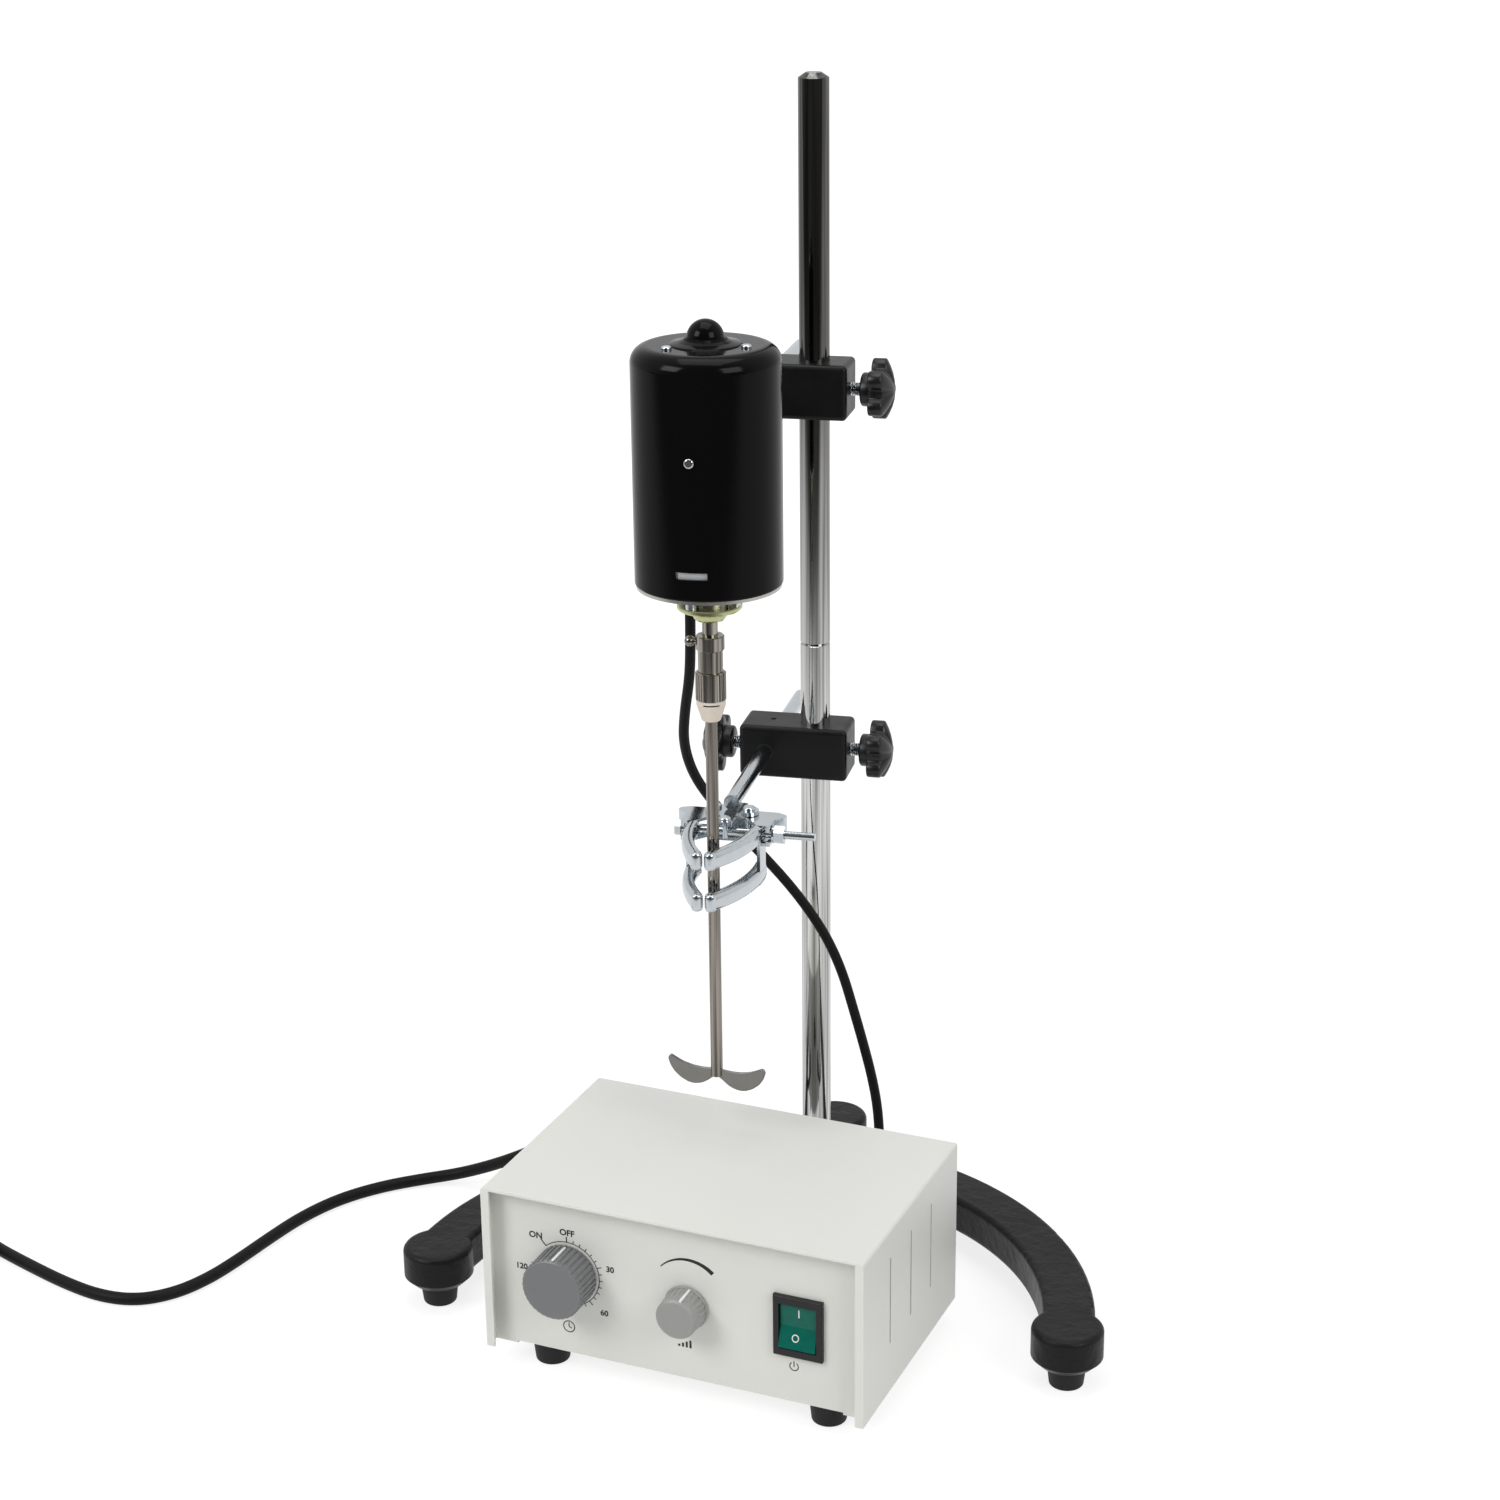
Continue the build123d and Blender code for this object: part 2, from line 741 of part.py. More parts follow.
def stator_core():
    """Makes the laminated core, with a window for each coil and two tapped holes."""
    body = tube(
        shell_radius - shell_wall, armature_radius + pole_gap,
        core_bottom, core_bottom + core_height,
    )
    for turn in (0, 180):
        body -= Rot(0, 0, turn) * coil_shape(0.2)
    across = Rot(90, 0, 0) * Cylinder(bar_stud_dia / 2, 5)
    body -= Pos(0, shell_radius - shell_wall - 2.0, upper_block_height) * across
    tapped = Rot(90, 0, 0) * Cylinder(small_screw_dia / 2, small_screw_length)
    body -= Pos(0, -shell_radius + small_screw_length / 2, upper_block_height) * tapped
    return on_motor(body)


def commutator_bottom():
    """Gives the height of the commutator's lower face."""
    return core_bottom + core_height + winding_overhang + commutator_gap


def brush_gear():
    """Makes the brush ring with a brush in its box on each side."""
    top = commutator_bottom() + commutator_height
    ring = tube(shell_radius - shell_wall, brush_ring_inner, top, top + brush_ring_thickness)
    solids = [ring]
    middle = top - commutator_height / 2
    for side in (-1, 1):
        start = commutator_radius + brush_gap
        brush = Pos(side * (start + brush_length / 2), 0, middle) * Box(brush_length, brush_width, brush_height)
        case = Pos(side * (start + 3 + brush_length / 2), 0, (middle + top) / 2 + brush_height / 4)
        case = case * Box(brush_length, brush_width + 3, top - middle + brush_height / 2)
        solids += [brush, case - brush]
    return [on_motor(solid) for solid in solids]


def motor_bearings():
    """Makes the two ball bearings as plain rings."""
    low = tube(bearing_radius, shaft_dia / 2 + shaft_clearance, plate_bottom - bearing_height, plate_bottom)
    top = shell_top + bearing_height - 1
    high = tube(bearing_radius, journal_dia / 2 + shaft_clearance, top - bearing_height, top)
    return [on_motor(low), on_motor(high)]


def motor_shaft():
    """Makes the shaft, from the chuck to the journal in the top bearing."""
    body = rod_between(shaft_dia / 2, chuck_neck_top - 4, commutator_bottom() + commutator_height + 4)
    journal_bottom = commutator_bottom() + commutator_height + 4
    body += rod_between(journal_dia / 2, journal_bottom, shell_top + bearing_height - 2)
    return on_motor(body)


def armature():
    """Makes the wound armature and its commutator."""
    core = tube(armature_radius, shaft_dia / 2, core_bottom, core_bottom + core_height)
    for place in ring_places(armature_radius, 12):
        core -= place * rod_between(1.6, core_bottom - 1, core_bottom + core_height + 1)
    low = tube(winding_radius, shaft_dia / 2, core_bottom - winding_overhang, core_bottom)
    core_top = core_bottom + core_height
    high = tube(winding_radius, shaft_dia / 2, core_top, core_top + winding_overhang)
    bottom = commutator_bottom()
    bars = tube(commutator_radius, shaft_dia / 2, bottom, bottom + commutator_height)
    for turn in range(12):
        bars -= Rot(0, 0, 30 * turn) * Pos(commutator_radius, 0, bottom) * Box(1.6, 0.5, 3 * commutator_height)
    return [on_motor(core + low + high), on_motor(bars)]


# Chuck


def chuck_body():
    """Makes the chuck's collar and neck, bored for the motor's shaft and the stirrer."""
    body = rod_between(chuck_collar_radius, chuck_neck_top, chuck_collar_top)
    body = chamfer(body.edges().group_by(Axis.Z)[0] + body.edges().group_by(Axis.Z)[-1], 0.5)
    body += rod_between(chuck_neck_radius, sleeve_bottom + 1, chuck_neck_top)
    body -= rod_between(shaft_dia / 2, chuck_neck_top - 4, chuck_collar_top + 1)
    body -= rod_between(stirrer_dia / 2 + grip_clearance, sleeve_bottom, sleeve_bottom + 1 + bore_depth)
    screw = Rot(0, -90, 0) * rod_between(set_screw_neck_radius, 0, 2 * chuck_collar_radius)
    body -= Pos(0, 0, (chuck_neck_top + chuck_collar_top) / 2) * screw
    return on_motor(body)


def chuck_set_screw():
    """Makes the ball-headed screw that holds the chuck on the shaft."""
    shank = Rot(0, -90, 0) * rod_between(set_screw_neck_radius, shaft_dia / 2, set_screw_reach)
    ball = Pos(-set_screw_reach, 0, 0) * Sphere(set_screw_ball_radius)
    return on_motor(Pos(0, 0, (chuck_neck_top + chuck_collar_top) / 2) * (shank + ball))


def collet_cone(extra):
    """Makes the cone that the collet fills, wider all round by extra."""
    return turned([
        (0, nose_bottom + 1.5 - extra),
        (nose_bottom_radius - nose_wall + extra, nose_bottom + 1.5 - extra),
        (nose_top_radius - nose_wall - 0.2 + extra, sleeve_bottom + extra),
        (0, sleeve_bottom + extra),
    ])


def chuck_collet():
    """Makes the three collet jaws that grip the stirrer's shaft."""
    cone = collet_cone(0) + rod_between(nose_top_radius - nose_wall - 1.2, sleeve_bottom, sleeve_bottom + 1)
    cone -= rod_between(stirrer_dia / 2 + grip_clearance, nose_bottom, sleeve_bottom + 2)
    for turn in (0, 120, 240):
        cone -= Rot(0, 0, turn) * Pos(10, 0, sleeve_bottom - 5) * Box(20, collet_slit, 40)
    return [on_motor(solid) for solid in cone.solids()]


def chuck_sleeve():
    """Makes the ribbed sleeve that closes the chuck."""
    blank = extrude(ribbed_outline(sleeve_radius, sleeve_rib_depth, sleeve_ribs), sleeve_height)
    blank = Pos(0, 0, sleeve_bottom) * blank
    edge = turned([
        (0, sleeve_bottom),
        (sleeve_radius + 1 - sleeve_chamfer, sleeve_bottom),
        (sleeve_radius + 1, sleeve_bottom + 1),
        (sleeve_radius + 1, sleeve_top - sleeve_chamfer - 0.6),
        (sleeve_radius - sleeve_chamfer, sleeve_top),
        (0, sleeve_top),
    ])
    body = blank & edge
    return on_motor(body - rod_between(chuck_neck_radius + slide_clearance, sleeve_bottom - 1, sleeve_top + 1))


def chuck_nose():
    """Makes the pale cone under the sleeve, with its slit."""
    rim = sleeve_bottom - 2.6
    body = turned([
        (0, nose_bottom),
        (nose_bottom_radius - 0.5, nose_bottom),
        (nose_bottom_radius, nose_bottom + 0.5),
        (nose_top_radius - 0.5, rim - 1.6),
        (nose_top_radius, rim),
        (nose_top_radius, sleeve_bottom),
        (0, sleeve_bottom),
    ])
    body -= collet_cone(slide_clearance)
    body -= rod_between(stirrer_dia / 2 + 0.3, nose_bottom - 1, sleeve_bottom)
    slit = Pos(0, -nose_top_radius, rim + 0.8) * Box(nose_slit_width, 1.2, nose_slit_height)
    return on_motor(body - slit)


# Stirrer


def stirrer_shaft():
    """Makes the stirrer's shaft, slit at its lower end for the blade."""
    top = sleeve_bottom + 1 + stirrer_insert - 10
    body = rod_between(stirrer_dia / 2, stirrer_bottom, top)
    body = chamfer(body.edges().sort_by(Axis.Z)[-1], 0.5)
    slit = Pos(0, 0, stirrer_bottom) * Box(20, blade_thickness, 2 * (blade_bottom + blade_saddle - stirrer_bottom))
    return on_motor((body - slit).rotate(Axis.Z, blade_turn))


def stirrer_blade():
    """Makes the two crescent lobes of the blade from one sheet."""
    half = blade_span / 2
    notch = (0.0, blade_notch)
    low = (blade_low_point, 0.0)
    tip_low = (half, blade_tip_height - blade_tip_drop)
    tip_high = (half - 2 * blade_tip_radius, blade_tip_height)
    saddle = (blade_low_point, blade_web)
    root = (stirrer_dia / 2, blade_saddle)
    under = Spline(notch, low, tip_low, tangents=[(1, 0), (0.15, 1)])
    tip = ThreePointArc(tip_low, (half - 0.5 * blade_tip_radius, blade_tip_height - 0.8), tip_high)
    over = Spline(tip_high, saddle, root, tangents=[(-1, -0.5), (-1, 0.25)])
    bridge = Line(root, (0, blade_saddle))
    spine = Line((0, blade_saddle), notch)
    lobe = make_face(under + tip + over + bridge + spine)
    outline = lobe + mirror(lobe, Plane.YZ)
    sheet_metal = extrude(Plane.XZ * outline, blade_thickness / 2, both=True)
    return on_motor(Pos(0, 0, blade_bottom) * sheet_metal.rotate(Axis.Z, blade_turn))


# Claw clamp, made with its middle on the bar's axis and moved there by on_claw


def on_claw(shape):
    """Moves a piece made about the claw bar's line to the lower arm."""
    return swing(shape.moved(Location((-bar_offset, 0, 0))))


def claw_bar():
    """Makes the claw's bar, with the flat that is welded to the frame."""
    length = claw_bar_reach + claw_bar_tail
    body = Cylinder(claw_bar_dia / 2, length)
    body = chamfer(body.edges().sort_by(Axis.Z)[0], bar_chamfer)
    body = Pos(0, claw_bar_tail - length / 2, lower_block_height) * Rot(90, 0, 0) * body
    seat = Pos(0, -claw_bar_reach, claw_plate_top - 5)
    return on_claw(body - seat * Box(claw_bar_dia, 2 * (claw_bar_reach - claw_frame_back), 10))


def frame_outline(nose):
    """Makes the outline of a frame plate, with its ears and a nose if asked for."""
    width = 2 * claw_frame_half
    shape = Pos(0, -(claw_frame_back + claw_pivot_reach) / 2)
    shape = shape * Rectangle(width, claw_pivot_reach - claw_frame_back)
    shape += Pos(0, -claw_pivot_reach) * Rectangle(2 * claw_pivot_half, 2 * claw_ear_radius)
    for side in (-1, 1):
        shape += Pos(side * claw_pivot_half, -claw_pivot_reach) * Circle(claw_ear_radius)
    if nose:
        reach = claw_nose_reach - claw_pivot_reach
        shape += Pos(0, -claw_pivot_reach - reach / 2) * Rectangle(2 * claw_nose_radius, reach)
        shape += Pos(0, -claw_nose_reach) * Circle(claw_nose_radius)
    return shape


def claw_frame():
    """Makes the folded frame: a top plate, a back web and a bottom plate."""
    bottom = claw_plate_top - claw_frame_height
    body = Pos(0, 0, claw_plate_top - claw_plate_thickness) * extrude(frame_outline(True), claw_plate_thickness)
    body += Pos(0, 0, bottom) * extrude(frame_outline(False), claw_plate_thickness)
    web = Box(2 * claw_frame_half, claw_plate_thickness, claw_frame_height)
    web_middle = claw_plate_top - claw_frame_height / 2
    body += Pos(0, -claw_frame_back - claw_plate_thickness / 2, web_middle) * web
    for side in (-1, 1):
        hole = rod_between(claw_pin_dia / 2, bottom - 1, claw_plate_top + 1)
        body -= Pos(side * claw_pivot_half, -claw_pivot_reach, 0) * hole
    nose_hole = rod_between(claw_nose_pin_dia / 2, claw_plate_top - 5, claw_plate_top + 1)
    return on_claw(body - Pos(0, -claw_nose_reach, 0) * nose_hole)


def claw_pins():
    """Makes the two pivot pins and the small pin in the frame's nose."""
    length = claw_frame_height
    pin = pan_screw(claw_pin_dia, length, claw_pin_head_radius, claw_pin_head_height)
    solids = [
        Pos(side * claw_pivot_half, -claw_pivot_reach, claw_plate_top) * pin for side in (-1, 1)
    ]
    nose = pan_screw(claw_nose_pin_dia, claw_nose_pin_length, 0.9 * claw_pin_head_radius, claw_pin_head_height)
    solids.append(Pos(0, -claw_nose_reach, claw_plate_top) * nose)
    return [on_claw(solid) for solid in solids]


def finger_centre():
    """Gives the centre and radius of the arc that the right finger follows."""
    ax, ay = jaw_root_half, -jaw_root_reach
    bx, by = jaw_tip_half, -jaw_tip_reach
    chord = math.hypot(bx - ax, by - ay)
    radius = (chord / 2) ** 2 / (2 * jaw_bulge) + jaw_bulge / 2
    inward = ((by - ay) / chord, -(bx - ax) / chord)
    back = radius - jaw_bulge
    return ((ax + bx) / 2 + inward[0] * back, (ay + by) / 2 + inward[1] * back, radius)


def finger_band(depth, bottom, top, start_reach, end_reach):
    """Makes a curved band along the right finger's arc, between two reaches."""
    cx, cy, radius = finger_centre()
    band = tube(radius + depth / 2, radius - depth / 2, bottom, top)
    band = Pos(cx, cy, 0) * band
    window = Pos(jaw_root_half / 2 + 10, -(start_reach + end_reach) / 2, (bottom + top) / 2)
    return band & window * Box(jaw_root_half + 24, end_reach - start_reach, top - bottom + 2)


def jaw_finger(top):
    """Makes one finger: a channel open towards the clamp's middle, with a closed tip."""
    cx, cy, radius = finger_centre()
    outline = Rectangle(finger_depth, finger_height)
    outline = fillet(outline.vertices().group_by(Axis.X)[-1], finger_round)
    hollow = Pos(-jaw_wall, 0) * Rectangle(finger_depth, finger_height - 2 * jaw_wall)
    section = Pos(radius, 0) * (outline - hollow)
    first = math.degrees(math.atan2(-jaw_tip_reach - cy, jaw_tip_half - cx))
    last = math.degrees(math.atan2(-jaw_root_reach - cy, jaw_root_half - cx))
    bar = revolve(Plane.XZ * section, Axis.Z, last - first).rotate(Axis.Z, first)
    bar = Pos(cx, cy, top - finger_height / 2) * bar
    cap = Cylinder(finger_depth / 2, finger_height)
    return bar + Pos(jaw_tip_half, -jaw_tip_reach, top - finger_height / 2) * cap


def jaw_plan():
    """Makes the plan of the root plates, from behind the pivot to the finger's root."""
    corners = [
        (-claw_ear_radius, 0),
        (-claw_ear_radius, jaw_back),
        (jaw_flat, jaw_back),
        (jaw_corner, 1),
        (jaw_flat, -jaw_flat_back),
        (jaw_flat, -jaw_flat_front),
        (jaw_root_half - claw_pivot_half, -jaw_flat_front),
        (0, -claw_ear_radius),
    ]
    plan = make_face(Polyline(*corners, close=True))
    outer = plan.vertices().sort_by(Axis.X)[-1]
    plan = fillet(outer, jaw_corner_radius)
    plan = fillet(plan.vertices().group_by(Axis.X)[0].sort_by(Axis.Y)[-1], claw_ear_radius - 0.2)
    return Pos(claw_pivot_half, -claw_pivot_reach) * plan


def right_jaw_shape():
    """Makes the right jaw: root plates on the pivot, outer web and two fingers."""
    top = claw_plate_top - claw_plate_thickness - jaw_gap
    bottom = claw_plate_top - claw_frame_height + claw_plate_thickness + jaw_gap
    plan = jaw_plan()
    wall = plan - offset(plan, -jaw_wall)
    wall &= Pos(claw_pivot_half + jaw_flat + 15, -claw_pivot_reach - 20) * Rectangle(34, 42)
    body = Pos(0, 0, top - jaw_wall) * extrude(plan, jaw_wall)
    body += Pos(0, 0, bottom) * extrude(plan, jaw_wall)
    body += Pos(0, 0, bottom) * extrude(wall, top - bottom)
    body += jaw_finger(finger_top)
    body += jaw_finger(finger_top - finger_drop)
    low = finger_top - finger_drop - finger_height
    outer = finger_band(jaw_wall, low, finger_top, jaw_root_reach, jaw_root_reach + web_span)
    body += Pos((finger_depth - jaw_wall) / 2, 0, 0) * outer
    pin_hole = rod_between(claw_pin_dia / 2 + jaw_clearance, bottom - 1, top + 1)
    body -= Pos(claw_pivot_half, -claw_pivot_reach, 0) * pin_hole
    slot = Box(60, cross_slot_back + cross_slot_front, cross_dia + 1)
    slot_middle = -cross_reach + (cross_slot_back - cross_slot_front) / 2
    body -= Pos(claw_pivot_half + 30, slot_middle, cross_height) * slot
    return body


def lean(shape, side):
    """Turns a jaw about its pivot to where it stands."""
    pivot = Axis((side * claw_pivot_half, -claw_pivot_reach, 0), (0, 0, 1))
    return shape.rotate(pivot, -jaw_lean)


def right_jaw():
    """Makes the right jaw where it stands."""
    return on_claw(lean(right_jaw_shape(), 1))


def left_jaw():
    """Makes the left jaw, the mirror image of the right one."""
    return on_claw(lean(mirror(right_jaw_shape(), Plane.YZ), -1))


def cross_screw():
    """Makes the screw across both jaws, with its head against the left one."""
    left = claw_pivot_half + jaw_flat + head_gap
    length = left + cross_right
    body = Rot(0, 90, 0) * Cylinder(cross_dia / 2, length)
    body = Pos((cross_right - left) / 2, -cross_reach, cross_height) * body
    head = extrude(RegularPolygon(cross_head_radius, 6), cross_head_height)
    place = Pos(-left - cross_head_height, -cross_reach, cross_height) * Rot(0, 90, 0)
    return on_claw(body + place * head)


def claw_nut():
    """Makes the adjusting nut and its washer outside the right jaw."""
    washer = rod_between(nut_washer_radius, 0, nut_washer_thickness)
    nut = extrude(RegularPolygon(nut_flats / 2, 6, major_radius=False), nut_height)
    body = washer + Pos(0, 0, nut_washer_thickness) * nut
    body -= rod_between(cross_dia / 2 + jaw_clearance, -1, nut_height + 5)
    seat = claw_pivot_half + jaw_flat + nut_gap
    return on_claw(Pos(seat, -cross_reach, cross_height) * Rot(0, 90, 0) * body)


# Control box, made about the middle of its plan and moved there by on_box


def box_cover():
    """Makes the bent cover: top, two sides, their front returns and bottom flanges."""
    middle = box_floor + box_height / 2
    body = Pos(0, 0, middle) * Box(box_width, box_depth, box_height)
    body = fillet(body.edges().filter_by(Axis.Y).group_by(Axis.Z)[-1], 1.5)
    inside = Box(box_width - 2 * sheet, box_depth + 2, box_height)
    body -= Pos(0, 0, middle - sheet) * inside
    for side in (-1, 1):
        x = side * (box_width / 2 - sheet - cover_return / 2)
        body += Pos(x, -box_depth / 2 + sheet / 2, middle - sheet / 2) * Box(
            cover_return, sheet, box_height - sheet
        )
        x = side * (box_width / 2 - sheet - cover_flange / 2)
        y = panel_recess / 2
        flange = Pos(x, y, box_floor + sheet / 2) * Box(cover_flange, box_depth - panel_recess, sheet)
        body += flange
        for front in (-1, 1):
            hole = rod_between(screw_dia / 2, box_floor - 1, box_floor + 2)
            body -= Pos(side * (box_width / 2 - cover_screw_inset), front * cover_screw_front, 0) * hole
    slot = Box(4 * box_width, vent_width, vent_length)
    for index in range(vent_count):
        y = vent_shift + (index - (vent_count - 1) / 2) * vent_pitch
        body -= Pos(0, y, box_floor + vent_rise + vent_length / 2) * slot
    return on_box(body)


def panel_hole(x, rise, radius):
    """Makes a round cutter through the front panel."""
    return Pos(x, panel_y, box_floor + rise) * Rot(90, 0, 0) * Cylinder(radius, 6)


def rear_hole(x, rise, radius):
    """Makes a round cutter through the rear panel."""
    return Pos(x, box_depth / 2, box_floor + rise) * Rot(90, 0, 0) * Cylinder(radius, 6)


def box_chassis():
    """Makes the floor with its upright front and rear panels and the board's standoffs."""
    width = box_width - 2 * sheet
    floor_bottom = box_floor + sheet
    height = box_height - 2 * sheet
    depth = box_depth - panel_recess
    body = Pos(0, panel_recess / 2, floor_bottom + sheet / 2) * Box(width, depth, sheet)
    middle = floor_bottom + height / 2
    body += Pos(0, panel_y + sheet / 2, middle) * Box(width, sheet, height)
    body += Pos(0, box_depth / 2 - sheet / 2, middle) * Box(width, sheet, height)
    for dx in (-1, 1):
        for dy in (-1, 1):
            x = board_x + dx * (board_width / 2 - 5)
            y = board_y + dy * (board_depth / 2 - 5)
            top = floor_bottom + sheet + standoff_height
            body += Pos(x, y, 0) * rod_between(standoff_radius, floor_bottom + sheet, top)
            body -= Pos(dx * (box_width / 2 - box_foot_side), dy * (box_depth / 2 - box_foot_front), 0) * (
                rod_between(screw_dia / 2, box_floor, box_floor + 5)
            )
            body -= Pos(dx * (box_width / 2 - cover_screw_inset), dy * cover_screw_front, 0) * (
                rod_between(screw_dia / 2, box_floor, box_floor + 5)
            )
    body -= panel_hole(timer_x, timer_rise, bush_radius)
    body -= panel_hole(speed_x, speed_rise, bush_radius)
    body -= Pos(switch_x, panel_y, box_floor + switch_rise) * Box(switch_body_width, 10, switch_body_height)
    for x in (motor_gland_x, mains_gland_x):
        body -= rear_hole(x, gland_rise, gland_mouth_radius - 1)
    body -= rear_hole(fuse_x, fuse_rise, fuse_radius - 1)
    return on_box(body)


def box_feet():
    """Makes the four rubber feet of the box."""
    solids = []
    for dx in (-1, 1):
        for dy in (-1, 1):
            x = dx * (box_width / 2 - box_foot_side)
            y = dy * (box_depth / 2 - box_foot_front)
            seat = box_floor + sheet
            solids.append(on_box(Pos(x, y, 0) * foot(seat)))
    return solids


def machine_screws():
    """Makes the screws of all feet and of the cover."""
    solids = [Pos(x, y, 0) * foot_screw(casting_bottom) for x, y in foot_places()]
    short = foot_screw(box_floor + sheet)
    short &= Box(50, 50, 2 * (box_floor + 2 * sheet + 2))
    cover = pan_screw(screw_dia, 5, screw_head_radius, screw_head_height)
    for dx in (-1, 1):
        for dy in (-1, 1):
            x = dx * (box_width / 2 - box_foot_side)
            y = dy * (box_depth / 2 - box_foot_front)
            solids.append(on_box(Pos(x, y, 0) * short))
            x = dx * (box_width / 2 - cover_screw_inset)
            place = Pos(x, dy * cover_screw_front, box_floor) * Rot(180, 0, 0)
            solids.append(on_box(place * cover))
    return solids


def to_panel(shape, x, rise, out=0.0):
    """Stands a piece made along +Z on the front panel, pointing out of it."""
    return on_box(Pos(x, panel_y - out, box_floor + rise) * Rot(90, 0, 0) * shape)


def bush(length):
    """Makes the threaded bush and nut of a control, through the panel from behind."""
    body = rod_between(bush_radius, -sheet, length)
    return body - rod_between(timer_shaft_dia / 2 + bush_clearance, -sheet - 1, length + 1)


def timer_body():
    """Makes the clockwork case behind the panel, with its bush."""
    case = Pos(0, 0, -sheet - timer_body_depth / 2) * Box(timer_body_size, timer_body_size, timer_body_depth)
    case = fillet(case.edges().filter_by(Axis.Z), 3)
    case -= rod_between(timer_shaft_dia / 2 + bush_clearance, -sheet - 12, 0)
    return to_panel(case + bush(0.5), timer_x, timer_rise)


def timer_shaft():
    """Makes the shaft of the clockwork timer."""
    return to_panel(rod_between(timer_shaft_dia / 2, -sheet - 10, timer_knob_depth - 4), timer_x, timer_rise)


def timer_knob():
    """Makes the large ribbed timer knob."""
    blank = extrude(ribbed_outline(timer_knob_radius, timer_rib_depth, timer_ribs), timer_knob_depth - timer_knob_gap)
    face_radius = timer_knob_radius - 0.2
    edge = turned([
        (0, 0),
        (timer_knob_radius + 1, 0),
        (timer_knob_radius + 1, timer_knob_depth - timer_knob_gap - 1.6),
        (face_radius - 0.8, timer_knob_depth - timer_knob_gap),
        (0, timer_knob_depth - timer_knob_gap),
    ])
    body = blank & edge
    body += rod_between(face_radius, timer_knob_depth - timer_knob_gap - 2.6, timer_knob_depth - timer_knob_gap - 0.8)
    body -= rod_between(timer_shaft_dia / 2, -1, timer_knob_depth - 4 - timer_knob_gap)
    return to_panel(body, timer_x, timer_rise, timer_knob_gap)


def pot_body():
    """Makes the speed potentiometer behind the panel, with its bush and terminals."""
    body = rod_between(pot_radius, -sheet - pot_depth, -sheet)
    body += Pos(0, -pot_radius, -sheet - pot_depth + 1) * Box(14, 10, 1)
    body -= rod_between(timer_shaft_dia / 2 + bush_clearance, -sheet - 8, 0)
    return to_panel(body + bush(0.5), speed_x, speed_rise)


def speed_shaft():
    """Makes the shaft of the potentiometer."""
    return to_panel(rod_between(timer_shaft_dia / 2, -sheet - 7, speed_knob_depth - 3), speed_x, speed_rise)


def speed_knob():
    """Makes the small ribbed speed knob with its skirt."""
    rib = Pos(speed_knob_back_radius, 0, speed_knob_depth / 2) * Cylinder(0.7, speed_knob_depth)
    body = turned([
        (0, timer_knob_gap),
        (speed_skirt_radius, timer_knob_gap),
        (speed_skirt_radius - 0.4, speed_skirt_height),
        (speed_knob_back_radius, speed_skirt_height),
        (speed_knob_radius, speed_knob_depth - 1.0),
        (speed_knob_radius - 1.0, speed_knob_depth),
        (0, speed_knob_depth),
    ])
    cut = turned([
        (speed_knob_back_radius + 1, speed_skirt_height),
        (speed_knob_back_radius + 1, speed_knob_depth - 2.4),
        (speed_knob_radius - 0.5, speed_knob_depth - 2.4),
        (speed_knob_back_radius - 0.3, speed_skirt_height),
    ])
    grooves = [Rot(0, 0, 360 / speed_ribs * i) * rib for i in range(speed_ribs)]
    body -= [cut & groove for groove in grooves]
    body -= rod_between(timer_shaft_dia / 2, -1, speed_knob_depth - 3)
    return to_panel(body, speed_x, speed_rise)


def switch_housing():
    """Makes the switch's black bezel and body, open at the front for the rocker."""
    bezel = Pos(0, 0, bezel_depth / 2) * Box(bezel_width, bezel_height, bezel_depth)
    bezel = fillet(bezel.edges().group_by(Axis.Z)[-1], 0.8)
    body = bezel + Pos(0, 0, -switch_body_depth / 2) * Box(switch_body_width, switch_body_height, switch_body_depth)
    mouth = Box(rocker_width + 2 * rocker_gap, rocker_height + 2 * rocker_gap, 20)
    body -= Pos(0, 0, 10 - rocker_thickness - 3.5) * mouth
    for x in (-6, 0, 6):
        body += Pos(x, 0, -switch_body_depth - 3) * Box(0.8, 6, 8)
    return to_panel(body, switch_x, switch_rise)


def switch_rocker():
    """Makes the green rocker, pressed in at its upper end."""
    half = rocker_height / 2
    rise = half * math.tan(math.radians(rocker_turn))
    outline = Polyline(
        (-half, -rocker_thickness), (half, -rocker_thickness),
        (half, -0.3), (0, -0.6), (-half, rise), close=True,
    )
    body = extrude(Plane.YZ * make_face(outline), rocker_width / 2, both=True)
    ends = Rot(0, 90, 0) * Cylinder(half, 2 * rocker_width)
    body &= Pos(0, 0, -rocker_pivot_depth) * ends
    return to_panel(Pos(0, 0, rocker_proud) * body, switch_x, switch_rise)


def control_board():
    """Makes the board with its heat sink, choke and terminal block."""
    bottom = box_floor + 2 * sheet + standoff_height
    board = Pos(board_x, board_y, bottom + board_thickness / 2) * Box(board_width, board_depth, board_thickness)
    top = bottom + board_thickness
    sink = Pos(board_x - 20, board_y + 15, top + sink_size[2] / 2) * Box(*sink_size)
    for index in range(6):
        x = board_x - 20 + (index - 2.5) * 6.5
        sink -= Pos(x, board_y + 18, top + sink_size[2] / 2 + 3) * Box(3, 10, sink_size[2])
    choke = Pos(board_x + 22, board_y + 10, 0) * tube(choke_radius, 5, top, top + choke_height)
    terminals = Pos(board_x + 10, board_y - 22, top + 6) * Box(40, 10, 12)
    return [on_box(solid) for solid in (board, sink, choke, terminals)]


